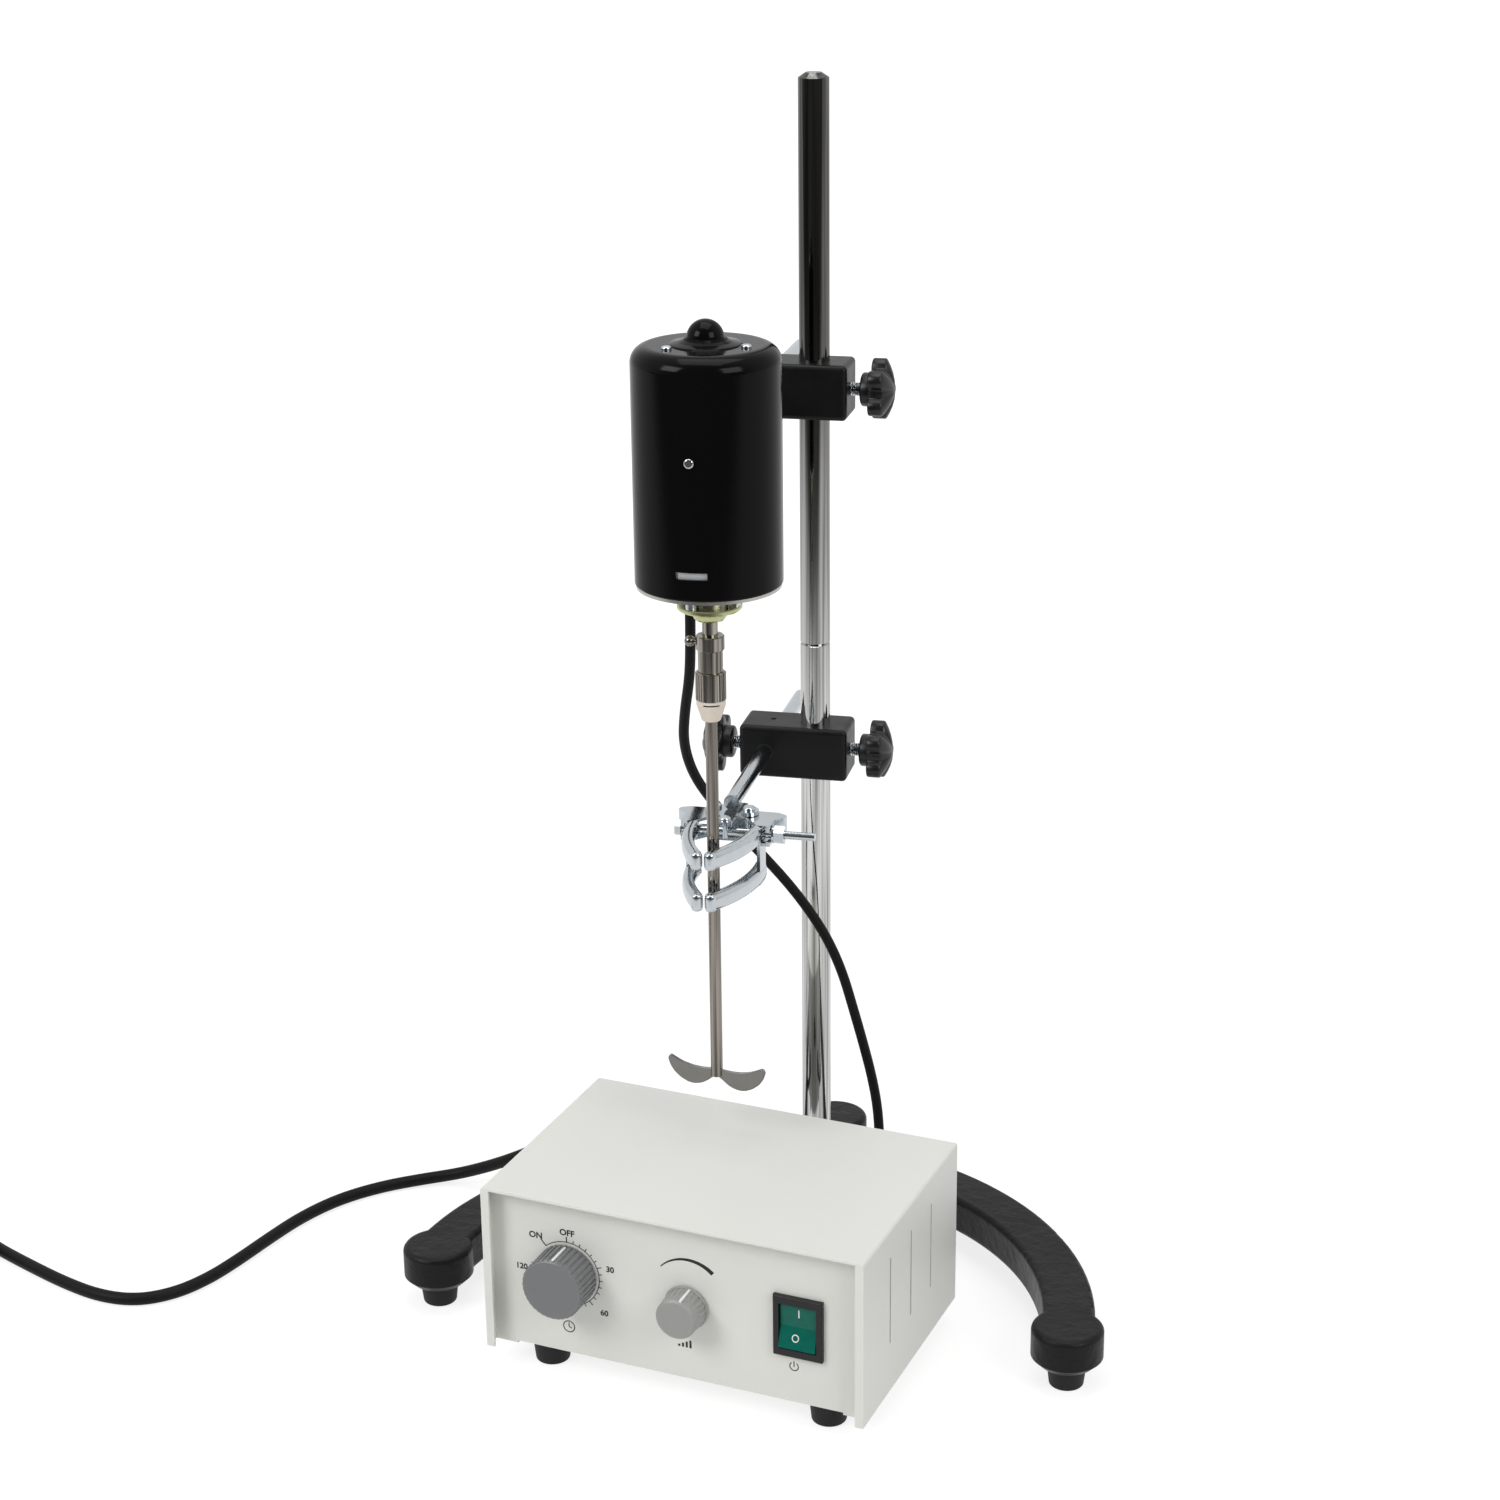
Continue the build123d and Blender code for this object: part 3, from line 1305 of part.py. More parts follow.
def fuse_holder():
    """Makes the fuse holder in the rear panel."""
    cap = rod_between(fuse_radius, 0, fuse_cap_length)
    cap = fillet(cap.edges().sort_by(Axis.Z)[-1], 1.0)
    body = cap + rod_between(fuse_radius - 1, -fuse_body_length, 0)
    return on_box(Pos(fuse_x, box_depth / 2, box_floor + fuse_rise) * Rot(-90, 0, 0) * body)


def cord_glands():
    """Makes the two tapered strain reliefs in the rear panel."""
    solids = []
    for x, lead_dia in ((motor_gland_x, cord_dia), (mains_gland_x, mains_dia)):
        tip = lead_dia / 2 + gland_tip_wall
        body = turned([
            (0, -sheet - 4),
            (gland_mouth_radius, -sheet - 4),
            (gland_mouth_radius, -sheet),
            (gland_mouth_radius - 1, -sheet),
            (gland_mouth_radius - 1, 0),
            (gland_flange_radius, 0),
            (gland_flange_radius, gland_flange_thickness),
            (gland_mouth_radius - 1, gland_flange_thickness + 0.6),
            (tip, gland_length),
            (0, gland_length),
        ])
        solids.append(on_box(Pos(x, box_depth / 2, box_floor + gland_rise) * Rot(-90, 0, 0) * body))
    return solids


# Cords


def cord_radii(points):
    """Gives the radius of each corner: as large as its two shorter runs allow."""
    radii = []
    for before, here, after in zip(points, points[1:], points[2:]):
        run_in = Vector(*here) - Vector(*before)
        run_out = Vector(*after) - Vector(*here)
        turn = math.radians(run_in.get_angle(run_out))
        radii.append(0.45 * min(run_in.length, run_out.length) / math.tan(turn / 2))
    return radii


def cord_tube(name, points, diameter):
    """Sweeps a round section along straight runs joined by tangent arcs."""
    radii = cord_radii(points)
    path = FilletPolyline(*points, radius=radii)
    section = Plane(points[0], z_dir=Vector(*points[1]) - Vector(*points[0])) * Circle(diameter / 2)
    body = sweep(section, path)
    expected = math.pi * diameter**2 / 4 * path.length
    print(name, "length", round(path.length, 1), "volume over expected", round(body.volume / expected, 4))
    print(name, "smallest radius in diameters", round(min(radii) / diameter, 1))
    return body


def lead_direction():
    """Gives the direction in plan in which the lead runs into the coil."""
    before, last = mains_cord_points[-2:]
    run = Vector(last[0] - before[0], last[1] - before[1], 0)
    return run.normalized()


def coil_place():
    """Gives the place of the coil's middle, so that the lead meets its turns."""
    run = lead_direction()
    last = mains_cord_points[-1]
    x = last[0] + coil_lead_in * run.X + coil_turn_radius * -abs(run.Y)
    y = last[1] + coil_lead_in * run.Y - coil_turn_radius * abs(run.X)
    return Pos(x, y, 0)


def mains_coil():
    """Makes the ring that the neatly wound length fills, with both of its ends."""
    half = coil_rows * mains_dia / 2
    ring = tube(coil_turn_radius + half, coil_turn_radius - half, 0, 2 * half)
    ring = fillet(ring.edges(), 0.45 * mains_dia)
    body = coil_place() * ring
    run = lead_direction()
    start = mains_cord_points[-1]
    lead_in = extrude(Plane(start, z_dir=run) * Circle(mains_dia / 2), coil_lead_in)
    lead_out = Pos(coil_turn_radius, 0, plug_thickness / 2) * Rot(-90, 0, 0)
    lead_out = lead_out * rod_between(mains_dia / 2, 0, plug_lead)
    return body + lead_in + coil_place() * Rot(0, 0, plug_angle) * lead_out


def coil_tie():
    """Makes the wire tie round the coil."""
    half = coil_rows * mains_dia / 2
    side = 2 * (half + tie_clearance)
    outer = Box(side + 2 * tie_thickness, tie_width, 2 * half + tie_thickness)
    inner = Box(side, tie_width + 2, 2 * half)
    band = outer - Pos(0, 0, -tie_thickness / 2) * inner
    band = Pos(coil_turn_radius, 0, half + tie_thickness / 2) * band
    return coil_place() * Rot(0, 0, tie_angle) * band


def mains_plug():
    """Makes a plug with two slanted flat pins and an upright one, lying by the coil."""
    body = Pos(0, plug_length / 2 + plug_relief_length, 0) * Box(plug_width, plug_length, plug_thickness)
    body = fillet(body.edges(), plug_round)
    relief = Rot(-90, 0, 0) * turned([
        (0, 0),
        (mains_dia / 2 + 1, 0),
        (mains_dia / 2 + 3, plug_relief_length + plug_round),
        (0, plug_relief_length + plug_round),
    ])
    body += relief
    front = plug_relief_length + plug_length
    for side in (-1, 1):
        pin = Pos(side * pin_spread, front + pin_length / 2 - 1, 2) * Rot(0, side * pin_slant, 0)
        body += pin * Box(pin_thickness, pin_length + 2, pin_width)
    earth = Pos(0, front + earth_pin_length / 2 - 1, -5) * Box(pin_width, earth_pin_length + 2, pin_thickness)
    body += earth
    place = Pos(coil_turn_radius, plug_lead, plug_thickness / 2)
    return coil_place() * Rot(0, 0, plug_angle) * place * body


nodes = {
    "base_casting": base_casting(),
    "base_feet": base_feet(),
    "base_nut": base_nut(),
    "lower_rod": lower_rod(),
    "upper_rod": upper_rod(),
    "upper_block": swing(boss_block(upper_block_height, motor_bar_dia)),
    "lower_block": swing(boss_block(lower_block_height, claw_bar_dia)),
    "upper_rod_knob": rod_knob(upper_block_height),
    "upper_bar_knob": bar_knob(upper_block_height, motor_bar_dia),
    "lower_rod_knob": rod_knob(lower_block_height),
    "lower_bar_knob": bar_knob(lower_block_height, claw_bar_dia),
    "motor_bar": motor_bar(),
    "motor_shell": motor_shell(),
    "motor_cap": motor_cap(),
    "motor_screws": motor_screws(),
    "bottom_plate": bottom_plate(),
    "bearing_flange": bearing_flange(),
    "cord_grommet": cord_grommet(),
    "stator_core": stator_core(),
    "field_coils": field_coils(),
    "brush_gear": brush_gear(),
    "motor_bearings": motor_bearings(),
    "motor_shaft": motor_shaft(),
    "armature": armature(),
    "chuck_body": chuck_body(),
    "chuck_set_screw": chuck_set_screw(),
    "chuck_collet": chuck_collet(),
    "chuck_sleeve": chuck_sleeve(),
    "chuck_nose": chuck_nose(),
    "stirrer_shaft": stirrer_shaft(),
    "stirrer_blade": stirrer_blade(),
    "claw_bar": claw_bar(),
    "claw_frame": claw_frame(),
    "claw_pins": claw_pins(),
    "cross_screw": cross_screw(),
    "right_jaw": right_jaw(),
    "left_jaw": left_jaw(),
    "claw_nut": claw_nut(),
    "box_cover": box_cover(),
    "box_chassis": box_chassis(),
    "box_feet": box_feet(),
    "machine_screws": machine_screws(),
    "timer_body": timer_body(),
    "timer_shaft": timer_shaft(),
    "timer_knob": timer_knob(),
    "pot_body": pot_body(),
    "speed_shaft": speed_shaft(),
    "speed_knob": speed_knob(),
    "switch_housing": switch_housing(),
    "switch_rocker": switch_rocker(),
    "control_board": control_board(),
    "fuse_holder": fuse_holder(),
    "cord_glands": cord_glands(),
}
cord_nodes = {
    "motor_cord": cord_tube("motor_cord", motor_cord_points, cord_dia),
    "mains_cord": cord_tube("mains_cord", mains_cord_points, mains_dia),
    "mains_coil": mains_coil(),
    "coil_tie": coil_tie(),
    "mains_plug": mains_plug(),
}


def gathered(shape):
    """Makes one compound of a node's solids."""
    solids = shape if isinstance(shape, list) else [shape]
    return Compound([solid for piece in solids for solid in piece.solids()])


nodes = {name: gathered(shape) for name, shape in nodes.items()}
cord_nodes = {name: gathered(shape) for name, shape in cord_nodes.items()}
reach_box = Compound([solid for shape in nodes.values() for solid in shape.solids()]).bounding_box()
centre_x = (reach_box.min.X + reach_box.max.X) / 2
centre_y = (reach_box.min.Y + reach_box.max.Y) / 2
print("rod axis in the finished frame", round(-centre_x, 3), round(-centre_y, 3))
print("height of the lowest point", round(reach_box.min.Z, 3), "size", reach_box.size)

os.makedirs("parts", exist_ok=True)
for name, shape in {**nodes, **cord_nodes}.items():
    export_step(shape.moved(Location((-centre_x, -centre_y, 0))), f"parts/{name}.step")
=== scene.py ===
import math

import bpy
import numpy as np
from mathutils import Matrix, Vector


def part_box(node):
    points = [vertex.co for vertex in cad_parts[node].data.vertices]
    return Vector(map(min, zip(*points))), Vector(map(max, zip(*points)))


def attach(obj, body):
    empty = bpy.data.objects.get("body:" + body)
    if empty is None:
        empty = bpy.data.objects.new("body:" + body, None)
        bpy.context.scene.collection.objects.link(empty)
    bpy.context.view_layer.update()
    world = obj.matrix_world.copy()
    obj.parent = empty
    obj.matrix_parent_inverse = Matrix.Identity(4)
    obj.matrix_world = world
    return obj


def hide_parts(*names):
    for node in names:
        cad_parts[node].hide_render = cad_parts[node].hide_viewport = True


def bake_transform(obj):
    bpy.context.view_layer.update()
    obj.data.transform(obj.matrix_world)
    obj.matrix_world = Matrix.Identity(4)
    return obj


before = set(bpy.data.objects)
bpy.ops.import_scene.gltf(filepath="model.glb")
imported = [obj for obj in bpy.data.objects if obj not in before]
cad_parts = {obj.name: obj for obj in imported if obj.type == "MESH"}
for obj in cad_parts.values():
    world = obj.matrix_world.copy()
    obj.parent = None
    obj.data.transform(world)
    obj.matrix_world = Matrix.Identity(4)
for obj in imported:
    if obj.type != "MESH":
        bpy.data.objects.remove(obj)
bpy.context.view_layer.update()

# Camera, where the photograph was taken from: about 1.6 m from the stirrer, a little to
# the right of it and looking down on it. Every place below is in millimetres from the
# rod's axis on the bench, and bench() turns such a place into the frame's metres.
rod_low, rod_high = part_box("upper_rod")
rod_axis = ((rod_low[0] + rod_high[0]) / 2, (rod_low[1] + rod_high[1]) / 2)


def bench(points):
    """Gives places in metres: each one divided by 1000 and moved by the rod's place."""
    places = np.asarray(points, float) / 1000
    return places + np.array([rod_axis[0], rod_axis[1], 0.0])


camera_place = (347.94, -1390.58, 775.15)
pitch, roll = math.radians(19.611), math.radians(-0.636)
level = Vector((0.9640, 0.2659, 0.0)).normalized()
ahead = Vector((-level.y * math.cos(pitch), level.x * math.cos(pitch), -math.sin(pitch)))
above = level.cross(ahead)
lens = bpy.data.cameras.new("camera")
lens.sensor_width = 36.0
lens.lens = 69.79
lens.clip_end = 20.0
camera = bpy.data.objects.new("camera", lens)
across = math.cos(roll) * level + math.sin(roll) * above
upright = math.cos(roll) * above - math.sin(roll) * level
turn = Matrix((across, upright, -ahead)).transposed().to_4x4()
camera.matrix_world = Matrix.Translation(Vector(bench(camera_place))) @ turn
bpy.context.collection.objects.link(camera)
bpy.context.scene.camera = camera

# Cords: black flexible sheathed cord, extruded round its cores. The motor's cord hangs
# from the grommet under the motor, goes behind the claw and round to the back of the
# box. The mains cord leaves the back of the box, crosses the casting and lies on the
# bench, and what is left of it is wound into a tied coil with the plug beside it.
motor_cord_points = [
    (-36.0, -106.0, 388.4), (-35.6, -105.6, 372.0), (-36.2, -104.0, 354.0),
    (-38.0, -100.0, 334.0), (-43.5, -92.0, 312.0), (-47.2, -83.0, 293.0),
    (-46.0, -72.0, 273.0), (-39.6, -61.0, 255.0), (-29.0, -51.0, 237.0),
    (-16.0, -44.0, 219.0), (-3.9, -40.0, 203.4), (7.3, -38.0, 187.5),
    (16.6, -38.0, 172.5), (24.2, -39.0, 155.5), (29.9, -40.5, 137.5),
    (35.4, -41.0, 118.5), (39.8, -40.0, 99.8), (42.6, -38.0, 81.3),
    (44.1, -39.0, 63.3), (45.6, -48.5, 48.2), (46.4, -64.5, 40.2),
    (44.4, -78.2, 40.0),
]
mains_cord_points = [
    (-58.6, -63.9, 40.0), (-56.0, -46.5, 41.0), (-62.5, -31.0, 42.6),
    (-79.0, -22.5, 43.6), (-99.0, -24.5, 43.8), (-120.0, -32.0, 42.5),
    (-141.0, -38.5, 36.5), (-160.0, -39.0, 26.0), (-179.5, -34.0, 15.0),
    (-199.0, -31.0, 6.3), (-219.0, -37.5, 3.5), (-238.0, -51.0, 3.3),
    (-255.0, -70.0, 3.3), (-267.0, -94.0, 3.3), (-274.5, -120.0, 3.3),
    (-281.0, -146.0, 3.3), (-288.0, -168.0, 3.3), (-298.5, -186.0, 3.3),
    (-314.5, -197.5, 3.3), (-335.5, -198.0, 3.3), (-360.0, -190.0, 3.3),
    (-388.0, -177.5, 3.3), (-414.0, -165.0, 3.3),
]
motor_cord_width = 5.2
mains_cord_width = 6.6
coil_turn_radius = 36.0
coil_lead_in = 30.0
coil_swept = 1205.7
coil_start = 64.3
plug_lead = 30.0


def coil_points():
    """Gives the coil's turns: an angle that grows evenly, and a radius and a height that
    step by one cord's width where the turns pass to the next place in the coil. The spline
    cuts its corners, so the radius is a little larger than the coil's."""
    swept = np.linspace(0, coil_swept, 52)
    half = mains_cord_width / 2
    steps = [half, half, -half, -half, half, half]
    radius = np.interp(swept, [0, 285, 345, 900, 960, coil_swept], steps)
    radius = (coil_turn_radius + radius) * 1.012
    height = np.interp(swept, [0, 600, 660, coil_swept], [half, half, 3 * half, 3 * half])
    angle = np.radians(coil_start + swept)
    before, last = np.array(mains_cord_points[-2]), np.array(mains_cord_points[-1])
    run = (last - before) / np.linalg.norm(last - before)
    middle = last + coil_lead_in * run + coil_turn_radius * np.array([-run[1], run[0], 0])
    x, y = middle[0] + radius * np.cos(angle), middle[1] + radius * np.sin(angle)
    turns = np.stack([x, y, height], 1)
    leaving = np.array([-math.sin(angle[-1]), math.cos(angle[-1]), 0.0])
    out = turns[-1] + np.outer([12.0, plug_lead], leaving) + [[0, 0, 0.5], [0, 0, 1.1]]
    return np.vstack([turns, out])


def route(name, points):
    """Lays a smooth line with the given places as the control points of one spline."""
    data = bpy.data.curves.new(name, "CURVE")
    data.dimensions = "3D"
    spline = data.splines.new("NURBS")
    spline.points.add(len(points) - 1)
    places = np.hstack([bench(points), np.ones((len(points), 1))])
    spline.points.foreach_set("co", places.ravel())
    spline.order_u = 3
    spline.use_endpoint_u = True
    spline.resolution_u = 10
    line = bpy.data.objects.new(name, data)
    bpy.context.collection.objects.link(line)
    return line


def line_points(line):
    """Reads the places along a route's smooth line."""
    mesh = bpy.data.meshes.new_from_object(line)
    places = np.empty(len(mesh.vertices) * 3)
    mesh.vertices.foreach_get("co", places)
    bpy.data.meshes.remove(mesh)
    return places.reshape(-1, 3)


def skin(name, rings, sharp=0.7, closed=False):
    """Makes a mesh from a grid of places: each row is a ring that closes on itself, and
    the rows are joined in order, with a flat end on the first and the last one."""
    count, around = rings.shape[:2]
    places = rings.reshape(-1, 3)
    row = np.arange(count if closed else count - 1)[:, None] * around
    column = np.arange(around)[None, :]
    after = (column + 1) % around
    following = (row + around) % (count * around)
    quads = np.stack([row + column, row + after, following + after, following + column], -1)
    faces = quads.reshape(-1, 4).tolist()
    if not closed:
        ends = [places[:around].mean(0), places[-around:].mean(0)]
        places = np.vstack([places, ends])
        ring = np.arange(around)
        onward = np.roll(ring, -1)
        last = (count - 1) * around
        centre = np.full(around, count * around)
        faces += np.stack([onward, ring, centre], 1).tolist()
        faces += np.stack([last + ring, last + onward, centre + 1], 1).tolist()
    mesh = bpy.data.meshes.new(name)
    mesh.from_pydata(places.tolist(), [], faces)
    mesh.validate()
    mesh.shade_smooth()
    mesh.set_sharp_from_angle(angle=sharp)
    piece = bpy.data.objects.new(name, mesh)
    bpy.context.collection.objects.link(piece)
    return piece


def along(line, section):
    """Carries a flat section along a line: at each place the section stands square to the
    line, turned as little as possible from the place before."""
    heading = np.gradient(line, axis=0)
    heading /= np.linalg.norm(heading, axis=1)[:, None]
    side = np.cross(heading[0], [0.0, 0.0, 1.0])
    if np.linalg.norm(side) < 0.3:
        side = np.cross(heading[0], [0.0, 1.0, 0.0])
    sides = []
    for direction in heading:
        side = side - direction * side.dot(direction)
        side = side / np.linalg.norm(side)
        sides.append(side)
    sides = np.array(sides)
    ups = np.cross(heading, sides)
    return line[:, None] + section[None, :, :1] * sides[:, None] + section[None, :, 1:] * ups[:, None]


def finish(name, colour, metallic=0.0, roughness=0.5, spread=0.06, mottle=0.05, grain=120.0,
           depth=0.0, fine=900.0, specular=0.5, edge_tone=0.0, edge_colour=(0.5, 0.5, 0.5)):
    """Makes a finish: its colour and gloss drift with a coarse noise, its relief follows a fine one, and
    its edges take another colour in a given share; where they go lighter this is a painted highlight, on
    some finishes together with rubbing."""
    material = bpy.data.materials.new(name)
    material.use_nodes = True
    nodes, links = material.node_tree.nodes, material.node_tree.links
    shader = nodes["Principled BSDF"]
    shader.inputs["Metallic"].default_value = metallic
    shader.inputs["Specular IOR Level"].default_value = specular
    place = nodes.new("ShaderNodeTexCoord")
    drift = nodes.new("ShaderNodeTexNoise")
    drift.inputs["Scale"].default_value = grain
    drift.inputs["Detail"].default_value = 4.0
    links.new(place.outputs["Object"], drift.inputs["Vector"])
    tint = nodes.new("ShaderNodeMix")
    tint.data_type = "RGBA"
    tint.inputs["A"].default_value = (*[c * (1 - mottle) for c in colour], 1)
    tint.inputs["B"].default_value = (*[min(1, c * (1 + mottle)) for c in colour], 1)
    links.new(drift.outputs["Fac"], tint.inputs["Factor"])
    result = tint.outputs["Result"]
    # Edges found by the bevel take another colour; where they go lighter this is a painted highlight, on
    # some finishes together with rubbing.
    if edge_tone:
        bevel = nodes.new("ShaderNodeBevel")
        bevel.samples = 4
        bevel.inputs["Radius"].default_value = 0.0012
        face = nodes.new("ShaderNodeNewGeometry")
        dot = nodes.new("ShaderNodeVectorMath")
        dot.operation = "DOT_PRODUCT"
        links.new(bevel.outputs["Normal"], dot.inputs[0])
        links.new(face.outputs["Normal"], dot.inputs[1])
        edge = nodes.new("ShaderNodeMapRange")
        edge.inputs["From Min"].default_value = 0.995
        edge.inputs["From Max"].default_value = 0.9
        edge.inputs["To Max"].default_value = edge_tone
        links.new(dot.outputs["Value"], edge.inputs["Value"])
        edge_toned = nodes.new("ShaderNodeMix")
        edge_toned.data_type = "RGBA"
        edge_toned.inputs["B"].default_value = (*edge_colour, 1)
        links.new(edge.outputs["Result"], edge_toned.inputs["Factor"])
        links.new(result, edge_toned.inputs["A"])
        result = edge_toned.outputs["Result"]
    links.new(result, shader.inputs["Base Color"])
    gloss = nodes.new("ShaderNodeMapRange")
    gloss.inputs["To Min"].default_value = max(0.0, roughness - spread)
    gloss.inputs["To Max"].default_value = roughness + spread
    links.new(drift.outputs["Fac"], gloss.inputs["Value"])
    links.new(gloss.outputs["Result"], shader.inputs["Roughness"])
    if depth:
        relief = nodes.new("ShaderNodeTexNoise")
        relief.inputs["Scale"].default_value = fine
        relief.inputs["Detail"].default_value = 3.0
        links.new(place.outputs["Object"], relief.inputs["Vector"])
        bump = nodes.new("ShaderNodeBump")
        bump.inputs["Distance"].default_value = depth
        bump.inputs["Strength"].default_value = 1.0
        links.new(relief.outputs["Fac"], bump.inputs["Height"])
        links.new(bump.outputs["Normal"], shader.inputs["Normal"])
    return material


def dress(material, *pieces):
    """Gives the finish to pieces, or to CAD nodes by name."""
    for piece in pieces:
        data = (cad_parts[piece] if isinstance(piece, str) else piece).data
        data.materials.clear()
        data.materials.append(material)


sheath = finish("cord_sheath", (0.006, 0.006, 0.0065), roughness=0.5, depth=0.00006,
                fine=700.0, specular=0.14)
turns = np.linspace(0, 2 * np.pi, 25)[:-1]
thin_cord = np.stack([np.cos(turns), np.sin(turns)], 1) * motor_cord_width / 2000

line = route("motor_cord_line", motor_cord_points)
motor_line = line_points(line)
bpy.data.objects.remove(line)
motor_lead = skin("motor_lead", along(motor_line, thin_cord))
dress(sheath, motor_lead)
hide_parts("motor_cord")
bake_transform(motor_lead)

line = route("mains_cord_line", np.vstack([mains_cord_points, coil_points()]))
mains_line = line_points(line)
bpy.data.objects.remove(line)
thick_cord = np.stack([np.cos(turns), np.sin(turns)], 1) * mains_cord_width / 2000
mains_lead = skin("mains_lead", along(mains_line, thick_cord))
dress(sheath, mains_lead)
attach(mains_lead, "stand")
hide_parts("mains_cord", "mains_coil")

# Mains plug: black plastic moulded round the cord's end, with a sleeve, and three flat
# pins of nickel-plated brass that start 58 mm from where the cord goes in.
pins_from = 0.0583


def plug_finish():
    """Makes the plug's finish: plastic, and plated metal where the distance along the plug
    from the cord's end is past the pins' root."""
    material = finish("plug_plastic", (0.010, 0.010, 0.010), roughness=0.38, depth=0.00003, specular=0.3)
    nodes, links = material.node_tree.nodes, material.node_tree.links
    shader = nodes["Principled BSDF"]
    heading = mains_line[-1] - mains_line[-4]
    heading = heading * [1, 1, 0] / np.linalg.norm(heading[:2])
    place = nodes.new("ShaderNodeTexCoord")
    along_plug = nodes.new("ShaderNodeVectorMath")
    along_plug.operation = "DOT_PRODUCT"
    along_plug.inputs[1].default_value = tuple(heading)
    links.new(place.outputs["Object"], along_plug.inputs[0])
    pins = nodes.new("ShaderNodeMath")
    pins.operation = "GREATER_THAN"
    pins.inputs[1].default_value = float(heading @ mains_line[-1]) + pins_from
    links.new(along_plug.outputs["Value"], pins.inputs[0])
    links.new(pins.outputs["Value"], shader.inputs["Metallic"])
    plated = nodes.new("ShaderNodeMix")
    plated.data_type = "RGBA"
    plated.inputs["B"].default_value = (0.62, 0.58, 0.50, 1)
    links.new(pins.outputs["Value"], plated.inputs["Factor"])
    links.new(shader.inputs["Base Color"].links[0].from_socket, plated.inputs["A"])
    links.new(plated.outputs["Result"], shader.inputs["Base Color"])
    return material


dress(plug_finish(), "mains_plug")

# Studio: a pale floor that shows white to the camera and keeps a soft shadow, with white
# behind the stirrer and a dark room in front of it, which the bright metal reflects.
floor_half, floor_level = 6.0, -0.0002


def floor_finish():
    """Makes the floor's finish: mostly its own white, with a share of what falls on it,
    and for reflections a white that fades to a dark room away from the stirrer."""
    material = bpy.data.materials.new("studio_floor")
    material.use_nodes = True
    nodes, links = material.node_tree.nodes, material.node_tree.links
    nodes.clear()
    out = nodes.new("ShaderNodeOutputMaterial")
    path = nodes.new("ShaderNodeLightPath")
    lit = nodes.new("ShaderNodeBsdfDiffuse")
    lit.inputs["Color"].default_value = (0.30, 0.30, 0.30, 1)
    glow = nodes.new("ShaderNodeEmission")
    place = nodes.new("ShaderNodeTexCoord")
    distance = nodes.new("ShaderNodeVectorMath")
    distance.operation = "LENGTH"
    links.new(place.outputs["Object"], distance.inputs[0])
    brighter = nodes.new("ShaderNodeMapRange")
    brighter.inputs["From Min"].default_value = 0.6
    brighter.inputs["From Max"].default_value = 1.8
    brighter.inputs["To Min"].default_value = 0.80
    brighter.inputs["To Max"].default_value = 1.06
    links.new(distance.outputs["Value"], brighter.inputs["Value"])
    links.new(brighter.outputs["Result"], glow.inputs["Strength"])
    both = nodes.new("ShaderNodeAddShader")
    links.new(lit.outputs[0], both.inputs[0])
    links.new(glow.outputs[0], both.inputs[1])
    plain = nodes.new("ShaderNodeBsdfDiffuse")
    plain.inputs["Color"].default_value = (0.75, 0.75, 0.74, 1)
    apart = nodes.new("ShaderNodeSeparateXYZ")
    links.new(place.outputs["Object"], apart.inputs[0])
    near = nodes.new("ShaderNodeMapRange")
    near.interpolation_type = "SMOOTHSTEP"
    near.inputs["From Min"].default_value = -1.3
    near.inputs["From Max"].default_value = -0.55
    near.inputs["To Min"].default_value = 0.09
    near.inputs["To Max"].default_value = 0.95
    links.new(apart.outputs["Y"], near.inputs["Value"])
    mirror = nodes.new("ShaderNodeEmission")
    links.new(near.outputs["Result"], mirror.inputs["Strength"])
    seen = nodes.new("ShaderNodeMixShader")
    links.new(path.outputs["Is Camera Ray"], seen.inputs[0])
    links.new(plain.outputs[0], seen.inputs[1])
    links.new(both.outputs[0], seen.inputs[2])
    reflected = nodes.new("ShaderNodeMixShader")
    links.new(path.outputs["Is Glossy Ray"], reflected.inputs[0])
    links.new(seen.outputs[0], reflected.inputs[1])
    links.new(mirror.outputs[0], reflected.inputs[2])
    links.new(reflected.outputs[0], out.inputs[0])
    return material


floor_mesh = bpy.data.meshes.new("floor")
floor_corners = [(x * floor_half, y * floor_half, floor_level)
                 for x, y in ((-1, -1), (1, -1), (1, 1), (-1, 1))]
floor_mesh.from_pydata(floor_corners, [], [(0, 1, 2, 3)])
floor = bpy.data.objects.new("floor", floor_mesh)
bpy.context.collection.objects.link(floor)
floor_mesh.materials.append(floor_finish())

world = bpy.data.worlds.new("studio")
bpy.context.scene.world = world
world.use_nodes = True
nodes, links = world.node_tree.nodes, world.node_tree.links
nodes.clear()
surround = nodes.new("ShaderNodeOutputWorld")
rays = nodes.new("ShaderNodeLightPath")
direction = nodes.new("ShaderNodeTexCoord")
toward = nodes.new("ShaderNodeVectorMath")
toward.operation = "DOT_PRODUCT"
toward.inputs[1].default_value = (-level.y, level.x, 0.0)
links.new(direction.outputs["Generated"], toward.inputs[0])
room = nodes.new("ShaderNodeMapRange")
room.interpolation_type = "SMOOTHSTEP"
room.inputs["From Min"].default_value = -0.75
room.inputs["From Max"].default_value = 0.05
room.inputs["To Min"].default_value = 0.09
room.inputs["To Max"].default_value = 1.0
links.new(toward.outputs["Value"], room.inputs["Value"])
soft = nodes.new("ShaderNodeBackground")
soft.inputs["Strength"].default_value = 0.45
white = nodes.new("ShaderNodeBackground")
white.inputs["Color"].default_value = (1, 1, 1, 1)
white.inputs["Strength"].default_value = 1.05
shine = nodes.new("ShaderNodeBackground")
links.new(room.outputs["Result"], shine.inputs["Strength"])
first = nodes.new("ShaderNodeMixShader")
links.new(rays.outputs["Is Glossy Ray"], first.inputs[0])
links.new(soft.outputs[0], first.inputs[1])
links.new(shine.outputs[0], first.inputs[2])
